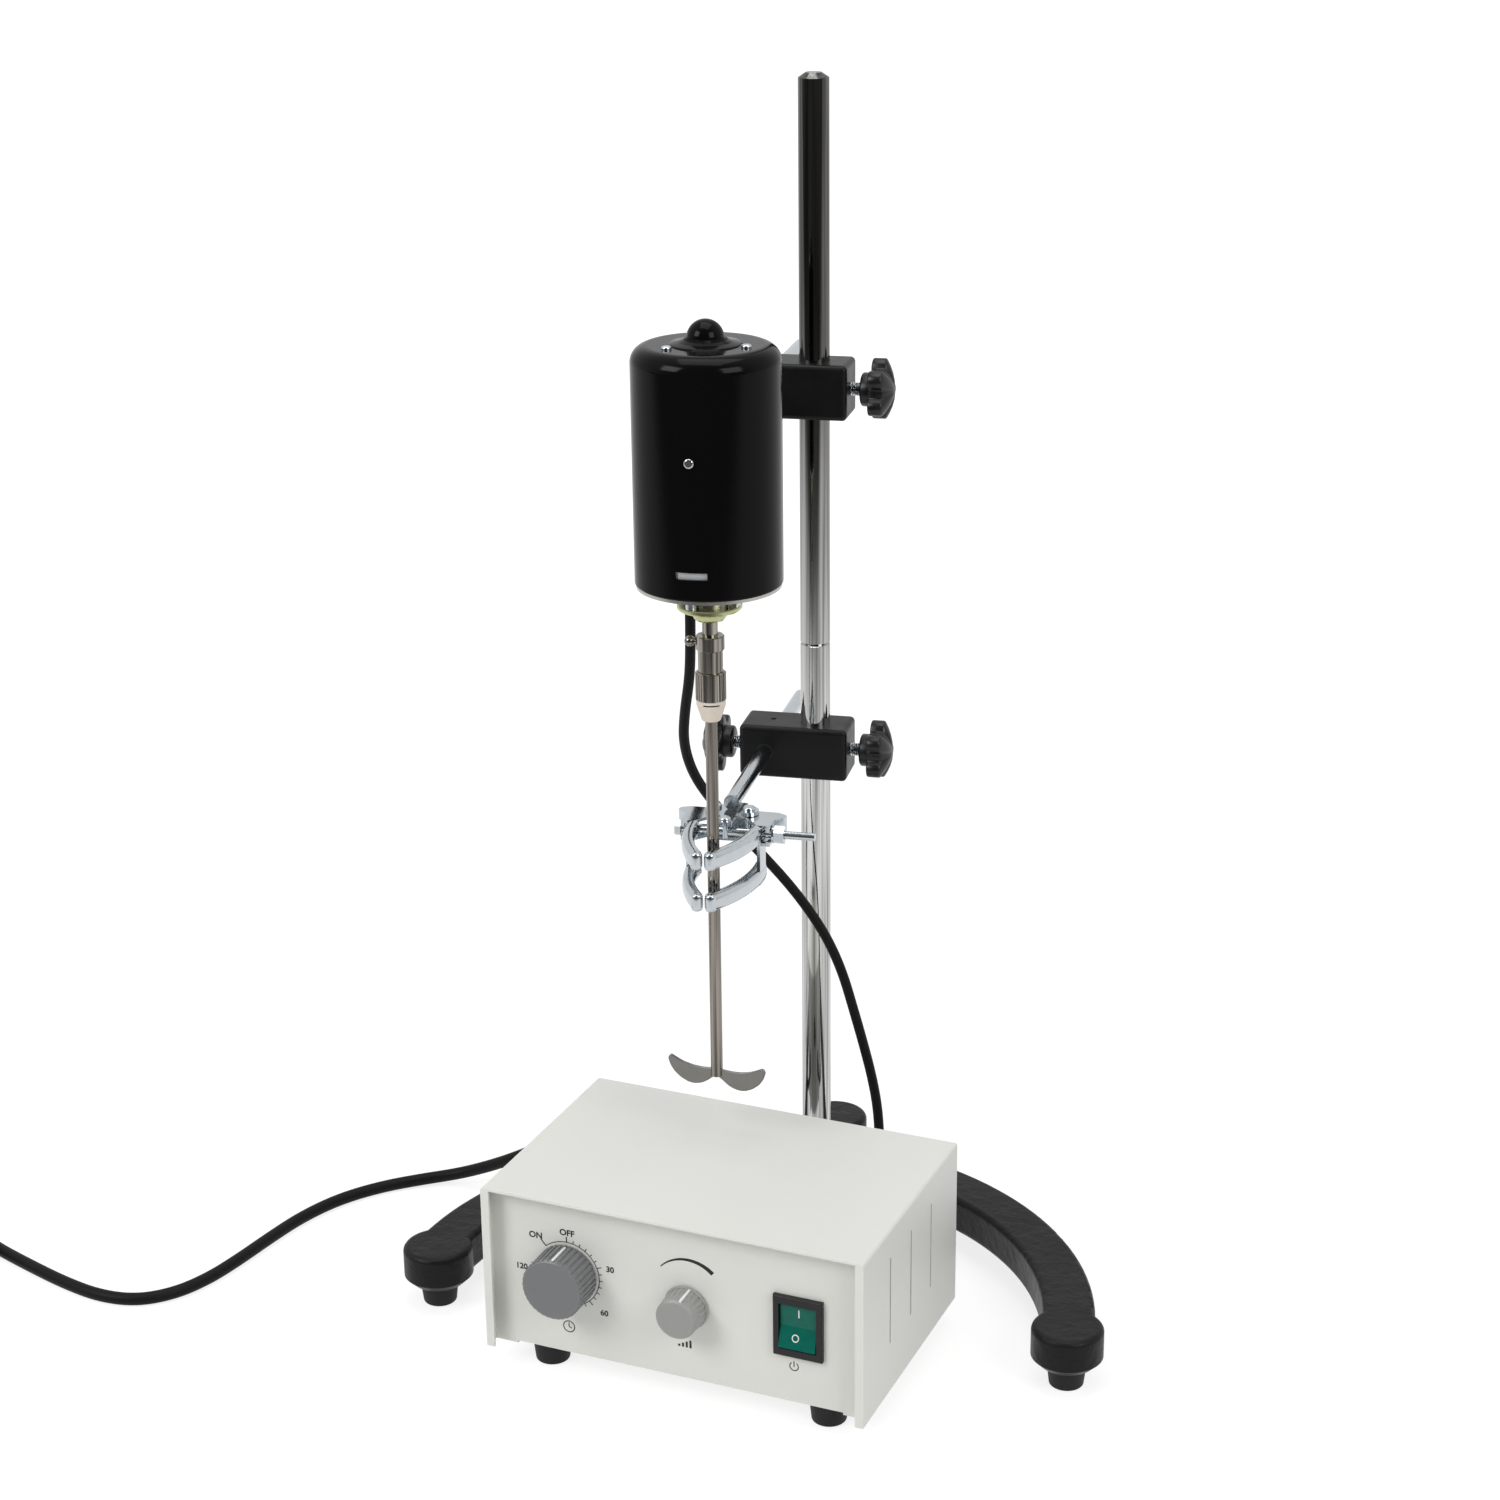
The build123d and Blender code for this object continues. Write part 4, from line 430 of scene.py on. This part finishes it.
through = nodes.new("ShaderNodeMath")
through.operation = "MAXIMUM"
links.new(rays.outputs["Is Camera Ray"], through.inputs[0])
links.new(rays.outputs["Is Transmission Ray"], through.inputs[1])
second = nodes.new("ShaderNodeMixShader")
links.new(through.outputs[0], second.inputs[0])
links.new(first.outputs[0], second.inputs[1])
links.new(white.outputs[0], second.inputs[2])
links.new(second.outputs[0], surround.inputs[0])


def lamp(name, place, aim, size, power):
    """Hangs a square soft lamp at a place, in millimetres, that points at another."""
    data = bpy.data.lights.new(name, "AREA")
    data.shape = "SQUARE"
    data.size = size
    data.energy = power
    item = bpy.data.objects.new(name, data)
    item.location = Vector(bench(place))
    away = Vector(bench(place)) - Vector(bench(aim))
    item.rotation_euler = away.to_track_quat("Z", "Y").to_euler()
    bpy.context.collection.objects.link(item)


lamp("lamp_left", (-1300, -1500, 1500), (0, -100, 250), 1.0, 23)
lamp("lamp_right", (1500, -1100, 1300), (0, -100, 250), 1.0, 15)
lamp("lamp_top", (0, -100, 1900), (0, -100, 0), 1.2, 11)
bpy.context.scene.view_settings.view_transform = "Standard"

# Stand casting: one grey-iron casting, fettled and sprayed with a hammer-rough black
# enamel, that stands on three turned rubber feet and holds the rod under its nut.
# Its edges are painted a little lighter: partly rubbed through from use, partly a painted highlight.
enamel = finish("casting_enamel", (0.006, 0.006, 0.0065), roughness=0.42, spread=0.12, grain=55.0,
                depth=0.0006, fine=170.0, specular=0.2, edge_tone=0.05, edge_colour=(0.10, 0.10, 0.10))
dress(enamel, "base_casting")
foot_rubber = finish("foot_rubber", (0.010, 0.010, 0.010), roughness=0.62, depth=0.00008, specular=0.3)
dress(foot_rubber, "base_feet", "box_feet")

# Rod: two lengths of centreless-ground bar under bright chrome, the upper one screwed into the lower
# one. Its upper part is painted darker, a painted reflection of a darker surround, and fine draw lines
# run along it.


def drawn_finish(name, low, high, low_level, high_level, roughness, scale, darkest):
    """Makes a drawn bar's finish: draw lines are a noise stretched along the bar, and its colour goes
    from one to the other between two heights, which is a painted reflection where the two colours
    differ."""
    material = finish(name, low, metallic=1.0, roughness=roughness, spread=0.03, mottle=0.03)
    nodes, links = material.node_tree.nodes, material.node_tree.links
    shader = nodes["Principled BSDF"]
    place = nodes.new("ShaderNodeTexCoord")
    drawn_out = nodes.new("ShaderNodeMapping")
    drawn_out.inputs["Scale"].default_value = (1.0, 1.0, 0.012)
    links.new(place.outputs["Object"], drawn_out.inputs["Vector"])
    lines = nodes.new("ShaderNodeTexNoise")
    lines.inputs["Scale"].default_value = scale
    lines.inputs["Detail"].default_value = 2.0
    links.new(drawn_out.outputs["Vector"], lines.inputs["Vector"])
    depth = nodes.new("ShaderNodeMapRange")
    depth.inputs["From Min"].default_value = 0.35
    depth.inputs["From Max"].default_value = 0.65
    depth.inputs["To Min"].default_value = darkest
    depth.inputs["To Max"].default_value = 1.0
    links.new(lines.outputs["Fac"], depth.inputs["Value"])
    apart = nodes.new("ShaderNodeSeparateXYZ")
    links.new(place.outputs["Object"], apart.inputs[0])
    height = nodes.new("ShaderNodeMapRange")
    height.inputs["From Min"].default_value = low_level
    height.inputs["From Max"].default_value = high_level
    links.new(apart.outputs["Z"], height.inputs["Value"])
    painted_reflection_fade = nodes.new("ShaderNodeMix")
    painted_reflection_fade.data_type = "RGBA"
    painted_reflection_fade.inputs["A"].default_value = (*low, 1)
    painted_reflection_fade.inputs["B"].default_value = (*high, 1)
    links.new(height.outputs["Result"], painted_reflection_fade.inputs["Factor"])
    shade = nodes.new("ShaderNodeVectorMath")
    shade.operation = "SCALE"
    links.new(painted_reflection_fade.outputs["Result"], shade.inputs[0])
    links.new(depth.outputs["Result"], shade.inputs["Scale"])
    links.new(shade.outputs["Vector"], shader.inputs["Base Color"])
    return material


# The darker colour towards the rod's top is a painted reflection.
rod_chrome = drawn_finish("rod_chrome", (0.70, 0.70, 0.69), (0.17, 0.165, 0.16), low_level=0.275,
                          high_level=0.475, roughness=0.09, scale=520.0, darkest=0.4)
dress(rod_chrome, "lower_rod", "upper_rod")

# Zinc-plated small parts: the nut under the rod, the bars, the claw's pressings and all
# screws are mild steel with a bright bluish zinc plate, a little cloudy from the bath.
zinc = finish("zinc_plate", (0.58, 0.62, 0.65), metallic=1.0, roughness=0.17, spread=0.07,
              mottle=0.10, grain=140.0, depth=0.00003, fine=1300.0)
dress(zinc, "base_nut", "motor_bar", "claw_bar", "claw_frame", "claw_pins", "cross_screw",
      "right_jaw", "left_jaw", "claw_nut", "machine_screws", "motor_screws")

# Boss blocks: cast blocks under satin black enamel, bored for the rod and a bar. Their edges are painted
# lighter: partly rubbed where they have been handled, partly a painted highlight along them.
block_enamel = finish("block_enamel", (0.0055, 0.0055, 0.006), roughness=0.34, spread=0.08,
                      depth=0.00005, fine=420.0, specular=0.2, edge_tone=0.35,
                      edge_colour=(0.07, 0.07, 0.07))
dress(block_enamel, "upper_block", "lower_block")

# Clamp knobs: black phenolic star knobs with a domed face, moulded on a zinc-plated
# screw that is threaded through the block's wall.
arm_swing, arm_offset = math.radians(2.5), 24.4
block_ends = {"rod": 18.7, "bar": -38.0}
block_levels = {"upper": 457.0, "lower": 266.0}
bar_widths = {"upper": 12.0, "lower": 8.0}
rod_width, tip_clearance = 15.5, 0.3
screw_show, hub_length, star_thickness, dome_height = 5.5, 4.8, 7.0, 5.0
hub_radius, core_radius, lobe_circle, lobe_radius = 8.5, 11.0, 11.2, 4.7
screw_radius, thread_pitch, thread_depth = 3.5, 1.0, 0.42


def swung(points):
    """Turns places about the rod to where both arms stand."""
    x, y, z = np.moveaxis(np.asarray(points, float), -1, 0)
    turned_x = x * math.cos(arm_swing) - y * math.sin(arm_swing)
    return np.stack([turned_x, x * math.sin(arm_swing) + y * math.cos(arm_swing), z], -1)


def star_rings():
    """Gives the knob's rings: a round hub, then the star's outline, then the same outline
    shrunk to a point while it rises as the square of what it has lost."""
    around = np.linspace(0, 2 * np.pi, 121)[:-1]
    nearest = (around + np.pi / 5) % (2 * np.pi / 5) - np.pi / 5
    inside = np.maximum(lobe_radius**2 - (lobe_circle * np.sin(nearest)) ** 2, 0)
    star = np.maximum(core_radius, lobe_circle * np.cos(nearest) + np.sqrt(inside))
    hub = np.full_like(star, hub_radius)
    stages = [(-hub_length, hub - 1.0), (-hub_length + 0.4, hub - 0.3), (-hub_length + 1.0, hub),
              (0.0, hub), (0.02, star - 1.2), (0.3, star - 0.4), (0.9, star),
              (star_thickness - 0.4, star)]
    shares = np.cos(np.radians([12, 25, 40, 55, 70, 83]))
    stages += [(star_thickness + dome_height * (1 - share**2), star * share) for share in shares]
    return np.array([np.stack([np.full_like(star, out), r * np.cos(around), r * np.sin(around)], -1)
                     for out, r in stages])


def thread_rings(start, end, radius):
    """Gives a screw's rings between two places on its axis: the radius falls and rises
    evenly with the place less the share of a turn, which makes a helix."""
    places = np.linspace(start, end, int(abs(end - start) / 0.13))[:, None]
    around = np.linspace(0, 2 * np.pi, 25)[None, :-1]
    wave = np.abs(2 * ((places / thread_pitch - around / (2 * np.pi)) % 1) - 1)
    r = radius - thread_depth * wave
    return np.stack([places + 0 * around, r * np.cos(around), r * np.sin(around)], -1)


knob_plastic = finish("knob_plastic", (0.006, 0.006, 0.0065), roughness=0.33, spread=0.08,
                      depth=0.00005, fine=700.0, specular=0.4)
for arm, block_level in block_levels.items():
    for kind, block_end in block_ends.items():
        side = 1 if kind == "rod" else -1
        seat = abs(block_end) + screw_show
        tip = rod_width / 2 if kind == "rod" else arm_offset + bar_widths[arm] / 2
        parts = {"star_knob": star_rings() + [seat + hub_length, 0, 0],
                 "clamp_screw": thread_rings(tip + tip_clearance, seat + 0.4, screw_radius)}
        for part, rings in parts.items():
            rings = rings * [side, side, 1] + [0, 0, block_level]
            piece = skin(f"{arm}_{kind}_{part}", bench(swung(rings)), sharp=0.6)
            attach(piece, f"{arm}_{kind}_clamp")
            if part == "star_knob":
                dress(knob_plastic, piece)
                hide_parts(f"{arm}_{kind}_knob")
            else:
                dress(zinc, piece)

# Motor: a deep-drawn steel can under gloss black enamel, closed below by a bare steel
# plate. A bright plated carrier shows through the slot low on its front.
motor_axis = (-arm_offset, -129.0)
slot_half, slot_bottom, slot_top = 14.5, 402.0, 405.6
carrier_inner, carrier_outer = 33.2, 33.75


def on_motor(points):
    """Moves places given about the motor's axis to where the motor hangs."""
    return bench(swung(np.asarray(points, float) + [motor_axis[0], motor_axis[1], 0.0]))


shell_enamel = finish("shell_enamel", (0.003, 0.003, 0.0033), roughness=0.13, spread=0.03,
                      depth=0.00002, fine=260.0, specular=0.09)
dress(shell_enamel, "motor_shell", "motor_cap")
bare_steel = finish("bare_steel", (0.50, 0.48, 0.45), metallic=1.0, roughness=0.28, spread=0.08)
dress(bare_steel, "bottom_plate", "motor_bearings", "chuck_collet", "timer_shaft", "speed_shaft",
      "timer_body", "pot_body")
passivated = finish("yellow_passivate", (0.50, 0.52, 0.27), metallic=1.0, roughness=0.2, mottle=0.3,
                    grain=90.0)
dress(passivated, "bearing_flange")
dress(foot_rubber, "cord_grommet", "cord_glands")
laminations = finish("laminations", (0.22, 0.23, 0.25), metallic=1.0, roughness=0.45)
dress(laminations, "stator_core")
copper = finish("copper_winding", (0.55, 0.22, 0.10), metallic=0.8, roughness=0.4)
dress(copper, "field_coils", "armature")
black_plastic = finish("black_plastic", (0.010, 0.010, 0.010), roughness=0.3, depth=0.00003,
                       specular=0.35)
dress(black_plastic, "brush_gear", "switch_housing", "fuse_holder", "coil_tie")



def hoop_rings(inner, outer, low, high, start, stop, count):
    """Gives the rings of a curved bar: a flat oblong of radius and height is carried round
    the motor's axis between two angles."""
    turn = np.radians(np.linspace(stop, start, count))[:, None]
    r, z = np.array([inner, outer, outer, inner]), np.array([low, low, high, high])
    return on_motor(np.stack([r * np.cos(turn), r * np.sin(turn), z + 0 * turn], -1))


slot_carrier = skin("slot_carrier", hoop_rings(carrier_inner, carrier_outer, slot_bottom, slot_top,
                                               -90 - slot_half, -90 + slot_half, 25), sharp=0.6)
carrier_zinc = finish("carrier_zinc", (0.62, 0.64, 0.66), metallic=0.55, roughness=0.35,
                      mottle=0.12, grain=260.0)
dress(carrier_zinc, slot_carrier)
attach(slot_carrier, "motor_carriage")

# Chuck: nickel-plated collar and ribbed sleeve over a moulded cream cone, which has one slit near its
# top for the collet's key. The slit is a thin strip of black plastic laid on the cone: painted shade of
# its opening.
nickel = drawn_finish("warm_nickel", (0.40, 0.37, 0.33), (0.40, 0.37, 0.33), low_level=0.0,
                      high_level=1.0, roughness=0.14, scale=620.0, darkest=0.25)
dress(nickel, "motor_shaft", "chuck_body", "chuck_set_screw", "chuck_sleeve")
cream = finish("cream_plastic", (0.70, 0.62, 0.54), roughness=0.38, depth=0.00003)
dress(cream, "chuck_nose")
nose_radius, slit_level, slit_height, slit_facing, slit_half = 7.12, 331.6, 0.65, -75, 32.0
slit_shade_strip = skin("slit_shade_strip", hoop_rings(nose_radius - 0.3, nose_radius + 0.03, slit_level,
                                         slit_level + slit_height, slit_facing - slit_half,
                                         slit_facing + slit_half, 21), sharp=0.6)
# The black strip is painted shade standing for the slit's opening.
dress(black_plastic, slit_shade_strip)
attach(slit_shade_strip, "chuck_grip")

# Stirrer: a drawn stainless rod, slit at its foot for a crescent blade that is cut from
# one sheet, with its edges rolled over and its faces left grey from the cutting.
blade_half, blade_bottom, blade_turn, sheet_half = 26.0, 129.0, math.radians(-9.3), 0.75
drawn = drawn_finish("drawn_stainless", (0.34, 0.31, 0.275), (0.34, 0.31, 0.275), low_level=0.0,
                     high_level=1.0, roughness=0.16, scale=700.0, darkest=0.35)
dress(drawn, "stirrer_shaft")
under_edge = [(0, 6.1), (1.4, 5.7), (3.4, 4.2), (5.8, 2.2), (8.8, 0.7), (12.4, 0.0), (15.6, 0.4),
              (19.5, 2.2), (22.8, 4.9), (25.0, 8.2), (26.0, 11.4)]
over_edge = [(0, 10.1), (3, 10.1), (8, 9.7), (13, 10.0), (18, 11.1), (21.5, 12.6), (24.2, 14.0),
             (25.3, 13.8), (26.0, 12.4)]


def blade_rings():
    """Gives the blade's rings from tip to tip: both edges run through chosen places and
    are eased by averaging neighbours, and each ring is a flat bar with rounded corners."""
    share = np.sin(np.radians(np.linspace(-90, 90, 121)))
    reach = np.abs(share) * blade_half
    low = np.interp(reach, *np.transpose(under_edge))
    high = np.interp(reach, *np.transpose(over_edge))
    window = np.ones(5) / 5
    low = np.convolve(np.pad(low, 2, "edge"), window, "valid")
    high = np.convolve(np.pad(high, 2, "edge"), window, "valid")
    y = np.array([-0.75, -0.75, -0.4, 0.4, 0.75, 0.75, 0.4, -0.4]) / 0.75 * sheet_half
    rise = np.array([0, 1, 1, 1, 1, 0, 0, 0])
    ease = np.array([0.35, -0.35, 0, 0, -0.35, 0.35, 0, 0])
    z = low[:, None] * (1 - rise) + high[:, None] * rise + ease
    x = share[:, None] * blade_half + 0 * y
    turned_x = x * math.cos(blade_turn) - y * math.sin(blade_turn)
    turned_y = x * math.sin(blade_turn) + y * math.cos(blade_turn)
    return np.stack([turned_x, turned_y, z + blade_bottom], -1)


blade_steel = finish("blade_steel", (0.25, 0.245, 0.235), metallic=1.0, roughness=0.36, spread=0.08,
                     mottle=0.12, grain=200.0, edge_tone=0.5, edge_colour=(0.12, 0.12, 0.12))
blade = skin("crescent_blade", on_motor(blade_rings())[::-1], sharp=0.5)
dress(blade_steel, blade)
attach(blade, "stirrer")
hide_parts("stirrer_blade")

# Claw: each jaw's two fingers are pressed from zinc-plated sheet as rounded channels,
# open towards the middle, and end in a closed round tip.
pivot_half, pivot_reach, jaw_lean = 8.5, 88.0, math.radians(-2.0)
finger_root, finger_tip, finger_bulge = (16.5, -96.0), (3.4, -142.5), 4.2
finger_levels = (255.6, 234.1)
channel = [(-2.55, 3.9), (-1.6, 4.3), (0.2, 4.35), (1.6, 4.0), (2.5, 3.1), (2.9, 1.7), (3.0, 0.0),
           (2.9, -1.7), (2.5, -3.1), (1.6, -4.0), (0.2, -4.35), (-1.6, -4.3), (-2.55, -3.9),
           (-2.55, -2.35), (0.4, -2.3), (0.8, -1.4), (0.8, 1.4), (0.4, 2.3), (-2.55, 2.35)]
tip_radius, tip_half = 3.0, 4.6


def finger_rings(level):
    """Carries the channel's section along the finger's arc, which runs through the root
    and the tip with a given bulge, and closes it with a rounded pillar at the tip."""
    root, tip = np.array(finger_root), np.array(finger_tip)
    chord = np.linalg.norm(tip - root)
    radius = (chord / 2) ** 2 / (2 * finger_bulge) + finger_bulge / 2
    run = (tip - root) / chord
    centre = (root + tip) / 2 + np.array([run[1], -run[0]]) * (radius - finger_bulge)
    start, stop = (math.atan2(*(end - centre)[::-1]) for end in (root, tip))
    turn = np.linspace(start, stop, 41)[:, None]
    section = np.array(channel)
    r = radius + section[None, :, 0]
    return np.stack([centre[0] + r * np.cos(turn), centre[1] + r * np.sin(turn),
                     level + section[None, :, 1] + 0 * turn], -1)


def pillar_rings(level):
    """Gives the rounded tip: a stack of circles whose radius shrinks at both ends."""
    rise = np.sin(np.radians(np.linspace(-86, 86, 23)))[:, None]
    around = np.linspace(0, 2 * np.pi, 33)[None, :-1]
    r = tip_radius * (1 - np.abs(rise) ** 4) ** 0.25
    return np.stack([finger_tip[0] + r * np.cos(around), finger_tip[1] + r * np.sin(around),
                     level + tip_half * rise + 0 * around], -1)


def on_claw(points, side):
    """Leans a jaw's places about its pivot, mirrors them for the left jaw, and moves them
    to the claw's arm."""
    x, y, z = np.moveaxis(np.asarray(points, float), -1, 0)
    x = side * x
    across, along_arm = x - side * pivot_half, y + pivot_reach
    leaned_x = side * pivot_half + across * math.cos(jaw_lean) - along_arm * math.sin(jaw_lean)
    leaned_y = -pivot_reach + across * math.sin(jaw_lean) + along_arm * math.cos(jaw_lean)
    return bench(swung(np.stack([leaned_x - arm_offset, leaned_y, z], -1)))


for side, jaw in ((1, "right"), (-1, "left")):
    for place, level in zip(("upper", "lower"), finger_levels):
        for part, rings in (("finger", finger_rings(level)), ("fingertip", pillar_rings(level))):
            rings = on_claw(rings, side)
            turned_in = (side < 0) != (part == "finger")
            piece = skin(f"{jaw}_{place}_{part}", rings[::-1] if turned_in else rings, sharp=0.9)
            dress(zinc, piece)
            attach(piece, f"claw_{jaw}_jaw")

# Control box: a folded steel cover and chassis, powder coated in a warm off-white. The cut edges are
# painted lighter, a painted highlight where they catch the light.
powder_coat = finish("powder_coat", (0.735, 0.74, 0.70), roughness=0.42, spread=0.05, mottle=0.012,
                     depth=0.00004, fine=420.0, edge_tone=0.25, edge_colour=(0.84, 0.84, 0.82))
dress(powder_coat, "box_cover", "box_chassis")
board = finish("board_green", (0.03, 0.16, 0.08), roughness=0.5)
dress(board, "control_board")

# Panel print: black silk-screened marks on the panel. A ring and one tick for each five
# minutes stand round the timer, and a wedge that thickens shows the way to more speed.
box_side, box_reach, box_turn = -9.0, 157.3, math.radians(-7.9)
panel_front, panel_floor = -57.5, 12.6
timer_place, speed_place, switch_place = (-57.8, 45.2), (6.0, 40.8), (64.4, 42.7)


def on_panel(points):
    """Moves places given as distance right of the panel's middle, rise above the box's
    underside and distance out of the panel to where the box stands."""
    x, rise, out = np.moveaxis(np.asarray(points, float), -1, 0)
    y = panel_front - out
    turned_x = x * math.cos(box_turn) - y * math.sin(box_turn)
    turned_y = x * math.sin(box_turn) + y * math.cos(box_turn)
    return bench(np.stack([turned_x + box_side, turned_y - box_reach, rise + panel_floor], -1))


def slabs(name, patches, body, out=0.0, thickness=0.08):
    """Makes thin closed slabs from four-cornered patches of the panel: each patch is
    repeated one thickness further out, and four walls join the two."""
    patches = np.asarray(patches, float)
    low = np.broadcast_to(out, patches.shape[:2])[..., None]
    under = np.concatenate([patches, low], -1)
    over = np.concatenate([patches, low + thickness], -1)
    both = np.stack([under, over], 1)
    pattern = [(0, 3, 2, 1), (4, 5, 6, 7), (0, 1, 5, 4), (1, 2, 6, 5), (2, 3, 7, 6), (3, 0, 4, 7)]
    faces = (np.arange(len(patches))[:, None, None] * 8 + np.array(pattern)[None]).reshape(-1, 4)
    mesh = bpy.data.meshes.new(name)
    mesh.from_pydata(on_panel(both.reshape(-1, 3)).tolist(), [], faces.tolist())
    piece = bpy.data.objects.new(name, mesh)
    bpy.context.collection.objects.link(piece)
    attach(piece, body)
    return piece


def stroke(start, end, width):
    """Gives the patch of a straight line of a given width."""
    start, end = np.array(start, float), np.array(end, float)
    aside = np.array([end[1] - start[1], start[0] - end[0]]) / np.linalg.norm(end - start) * width / 2
    return [start - aside, start + aside, end + aside, end - aside]


def bow(middle, radius, start, stop, width, count=48):
    """Gives the patches of an arc: degrees run clockwise from straight up, and the width
    may change from its start to its stop."""
    turn = np.radians(np.linspace(start, stop, count + 1))
    half = np.linspace(*np.broadcast_to(width, 2), count + 1)[:, None] / 2
    way = np.stack([np.sin(turn), np.cos(turn)], -1)
    inner, outer = np.array(middle) + (radius - half) * way, np.array(middle) + (radius + half) * way
    return np.stack([inner[:-1], inner[1:], outer[1:], outer[:-1]], 1)


def ray(degrees, near, far, width):
    """Gives the patch of a tick on the timer's scale."""
    way = np.array([math.sin(math.radians(degrees)), math.cos(math.radians(degrees))])
    return stroke(np.array(timer_place) + near * way, np.array(timer_place) + far * way, width)


ink = finish("panel_ink", (0.008, 0.008, 0.008), roughness=0.5, mottle=0.2, grain=700.0)
white_ink = finish("white_ink", (0.80, 0.80, 0.78), roughness=0.45, mottle=0.05, grain=700.0)
degrees_per_minute = 2.3
ticks = [ray(degrees_per_minute * minute, 17.2, 19.8 if minute % 30 == 0 else 18.9, 0.45)
         for minute in range(5, 125, 5)]
ticks += [ray(0, 17.2, 20.2, 0.6), ray(-41, 17.2, 21.6, 0.6)]
scale = np.concatenate([bow(timer_place, 17.2, -41, 276, 0.4, 120), np.array(ticks)])
speed_wedge = bow((7.0, 47.0), 19.4, -48, 42, (0.5, 2.3))
clock = [bow((-58.0, 15.6), 3.0, 0, 360, 0.5), [stroke((-58.0, 15.6), (-58.0, 17.8), 0.5)],
         [stroke((-58.0, 15.6), (-56.6, 14.9), 0.5)]]
bars = [[stroke((x, 18.2), (x, 18.2 + tall), 1.1)]
        for x, tall in ((1.6, 1.2), (3.6, 2.2), (5.6, 3.2), (7.6, 4.2))]
power = [bow((61.7, 20.6), 2.2, 35, 325, 0.5), [stroke((61.7, 20.4), (61.7, 23.4), 0.5)]]
pictograms = np.concatenate([np.asarray(mark, float) for mark in clock + bars + power])
for name, patches in (("timer_scale", scale), ("speed_wedge", speed_wedge), ("pictograms", pictograms)):
    piece = slabs(name, patches, "stand")
    dress(ink, piece)


def word(name, text, middle, size):
    """Prints a word or number on the panel, centred on a place."""
    data = bpy.data.curves.new(name, "FONT")
    data.body = text
    data.size = size
    data.align_x, data.align_y = "CENTER", "CENTER"
    data.extrude = 0.04
    data.offset = 0.12
    data.resolution_u = 4
    outline = bpy.data.objects.new(name + "_outline", data)
    bpy.context.collection.objects.link(outline)
    mesh = bpy.data.meshes.new_from_object(outline)
    bpy.data.objects.remove(outline)
    flat = np.empty(len(mesh.vertices) * 3)
    mesh.vertices.foreach_get("co", flat)
    flat = flat.reshape(-1, 3) + [middle[0], middle[1], 0.05]
    mesh.vertices.foreach_set("co", on_panel(flat).ravel())
    mesh.update()
    piece = bpy.data.objects.new(name, mesh)
    bpy.context.collection.objects.link(piece)
    dress(ink, piece)
    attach(piece, "stand")


word("word_off", "OFF", (-57.4, 67.4), 4.6)
word("word_on", "ON", (-74.6, 62.9), 4.6)
word("number_30", "30", (-34.6, 52.0), 4.3)
word("number_60", "60", (-38.4, 27.2), 4.3)
word("number_120", "120", (-83.0, 44.0), 4.3)

# Timer knob and speed knob: moulded grey knobs with fluted sides, each with a white line
# let into its side. They push onto flatted shafts.
# The flutes' edges are painted lighter than the grooves: a painted highlight.
grey_knob = finish("grey_knob", (0.165, 0.168, 0.173), roughness=0.4, depth=0.00003, edge_tone=0.3,
                   edge_colour=(0.26, 0.26, 0.27))
dress(grey_knob, "timer_knob")
pale_knob = finish("pale_knob", (0.30, 0.30, 0.29), roughness=0.4, depth=0.00003, edge_tone=0.3,
                   edge_colour=(0.42, 0.42, 0.41))
dress(pale_knob, "speed_knob")


def pointer(name, middle, radius, degrees, near, far, width, body):
    """Makes the white line on a knob's side: a thin bar along the knob's axis, at a turn
    clockwise from straight up."""
    way = np.array([math.sin(math.radians(degrees)), math.cos(math.radians(degrees))])
    aside = np.array([way[1], -way[0]]) * width / 2
    foot, head = np.array(middle) + (radius - 1.0) * way, np.array(middle) + radius * way
    corners = [foot - aside, foot + aside, head + aside, head - aside]
    rings = np.array([[[*corner, out] for corner in corners] for out in (near, far)])
    piece = skin(name, on_panel(rings), sharp=0.5)
    dress(white_ink, piece)
    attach(piece, body)


pointer("timer_pointer", timer_place, 16.15, 2, 3.0, 17.0, 1.1, "timer_dial")
pointer("speed_pointer", speed_place, 11.35, 14, 2.2, 13.4, 1.2, "speed_dial")

# Power switch: a lit rocker in clear dark green plastic, in a black bezel, marked with a
# white line for on and a ring for off.
green = finish("green_rocker", (0.0, 0.115, 0.082), roughness=0.22, spread=0.03, mottle=0.25,
               grain=260.0, specular=0.25)
rocker_out, slope_below, slope_above = 0.62, 0.301, 0.026
dress(green, "switch_rocker")
on_mark = np.array([stroke((64.7, 47.9), (64.7, 52.1), 0.6)])
off_mark = bow((63.4, 37.4), 1.6, 0, 360, 0.5, 32)
for name, patches in (("on_mark", on_mark), ("off_mark", off_mark)):
    below = np.maximum(switch_place[1] - patches[..., 1], 0)
    above_pivot = np.maximum(patches[..., 1] - switch_place[1], 0)
    out = rocker_out + slope_below * below + slope_above * above_pivot
    piece = slabs(name, patches, "power_switch", out=out, thickness=0.1)
    dress(white_ink, piece)
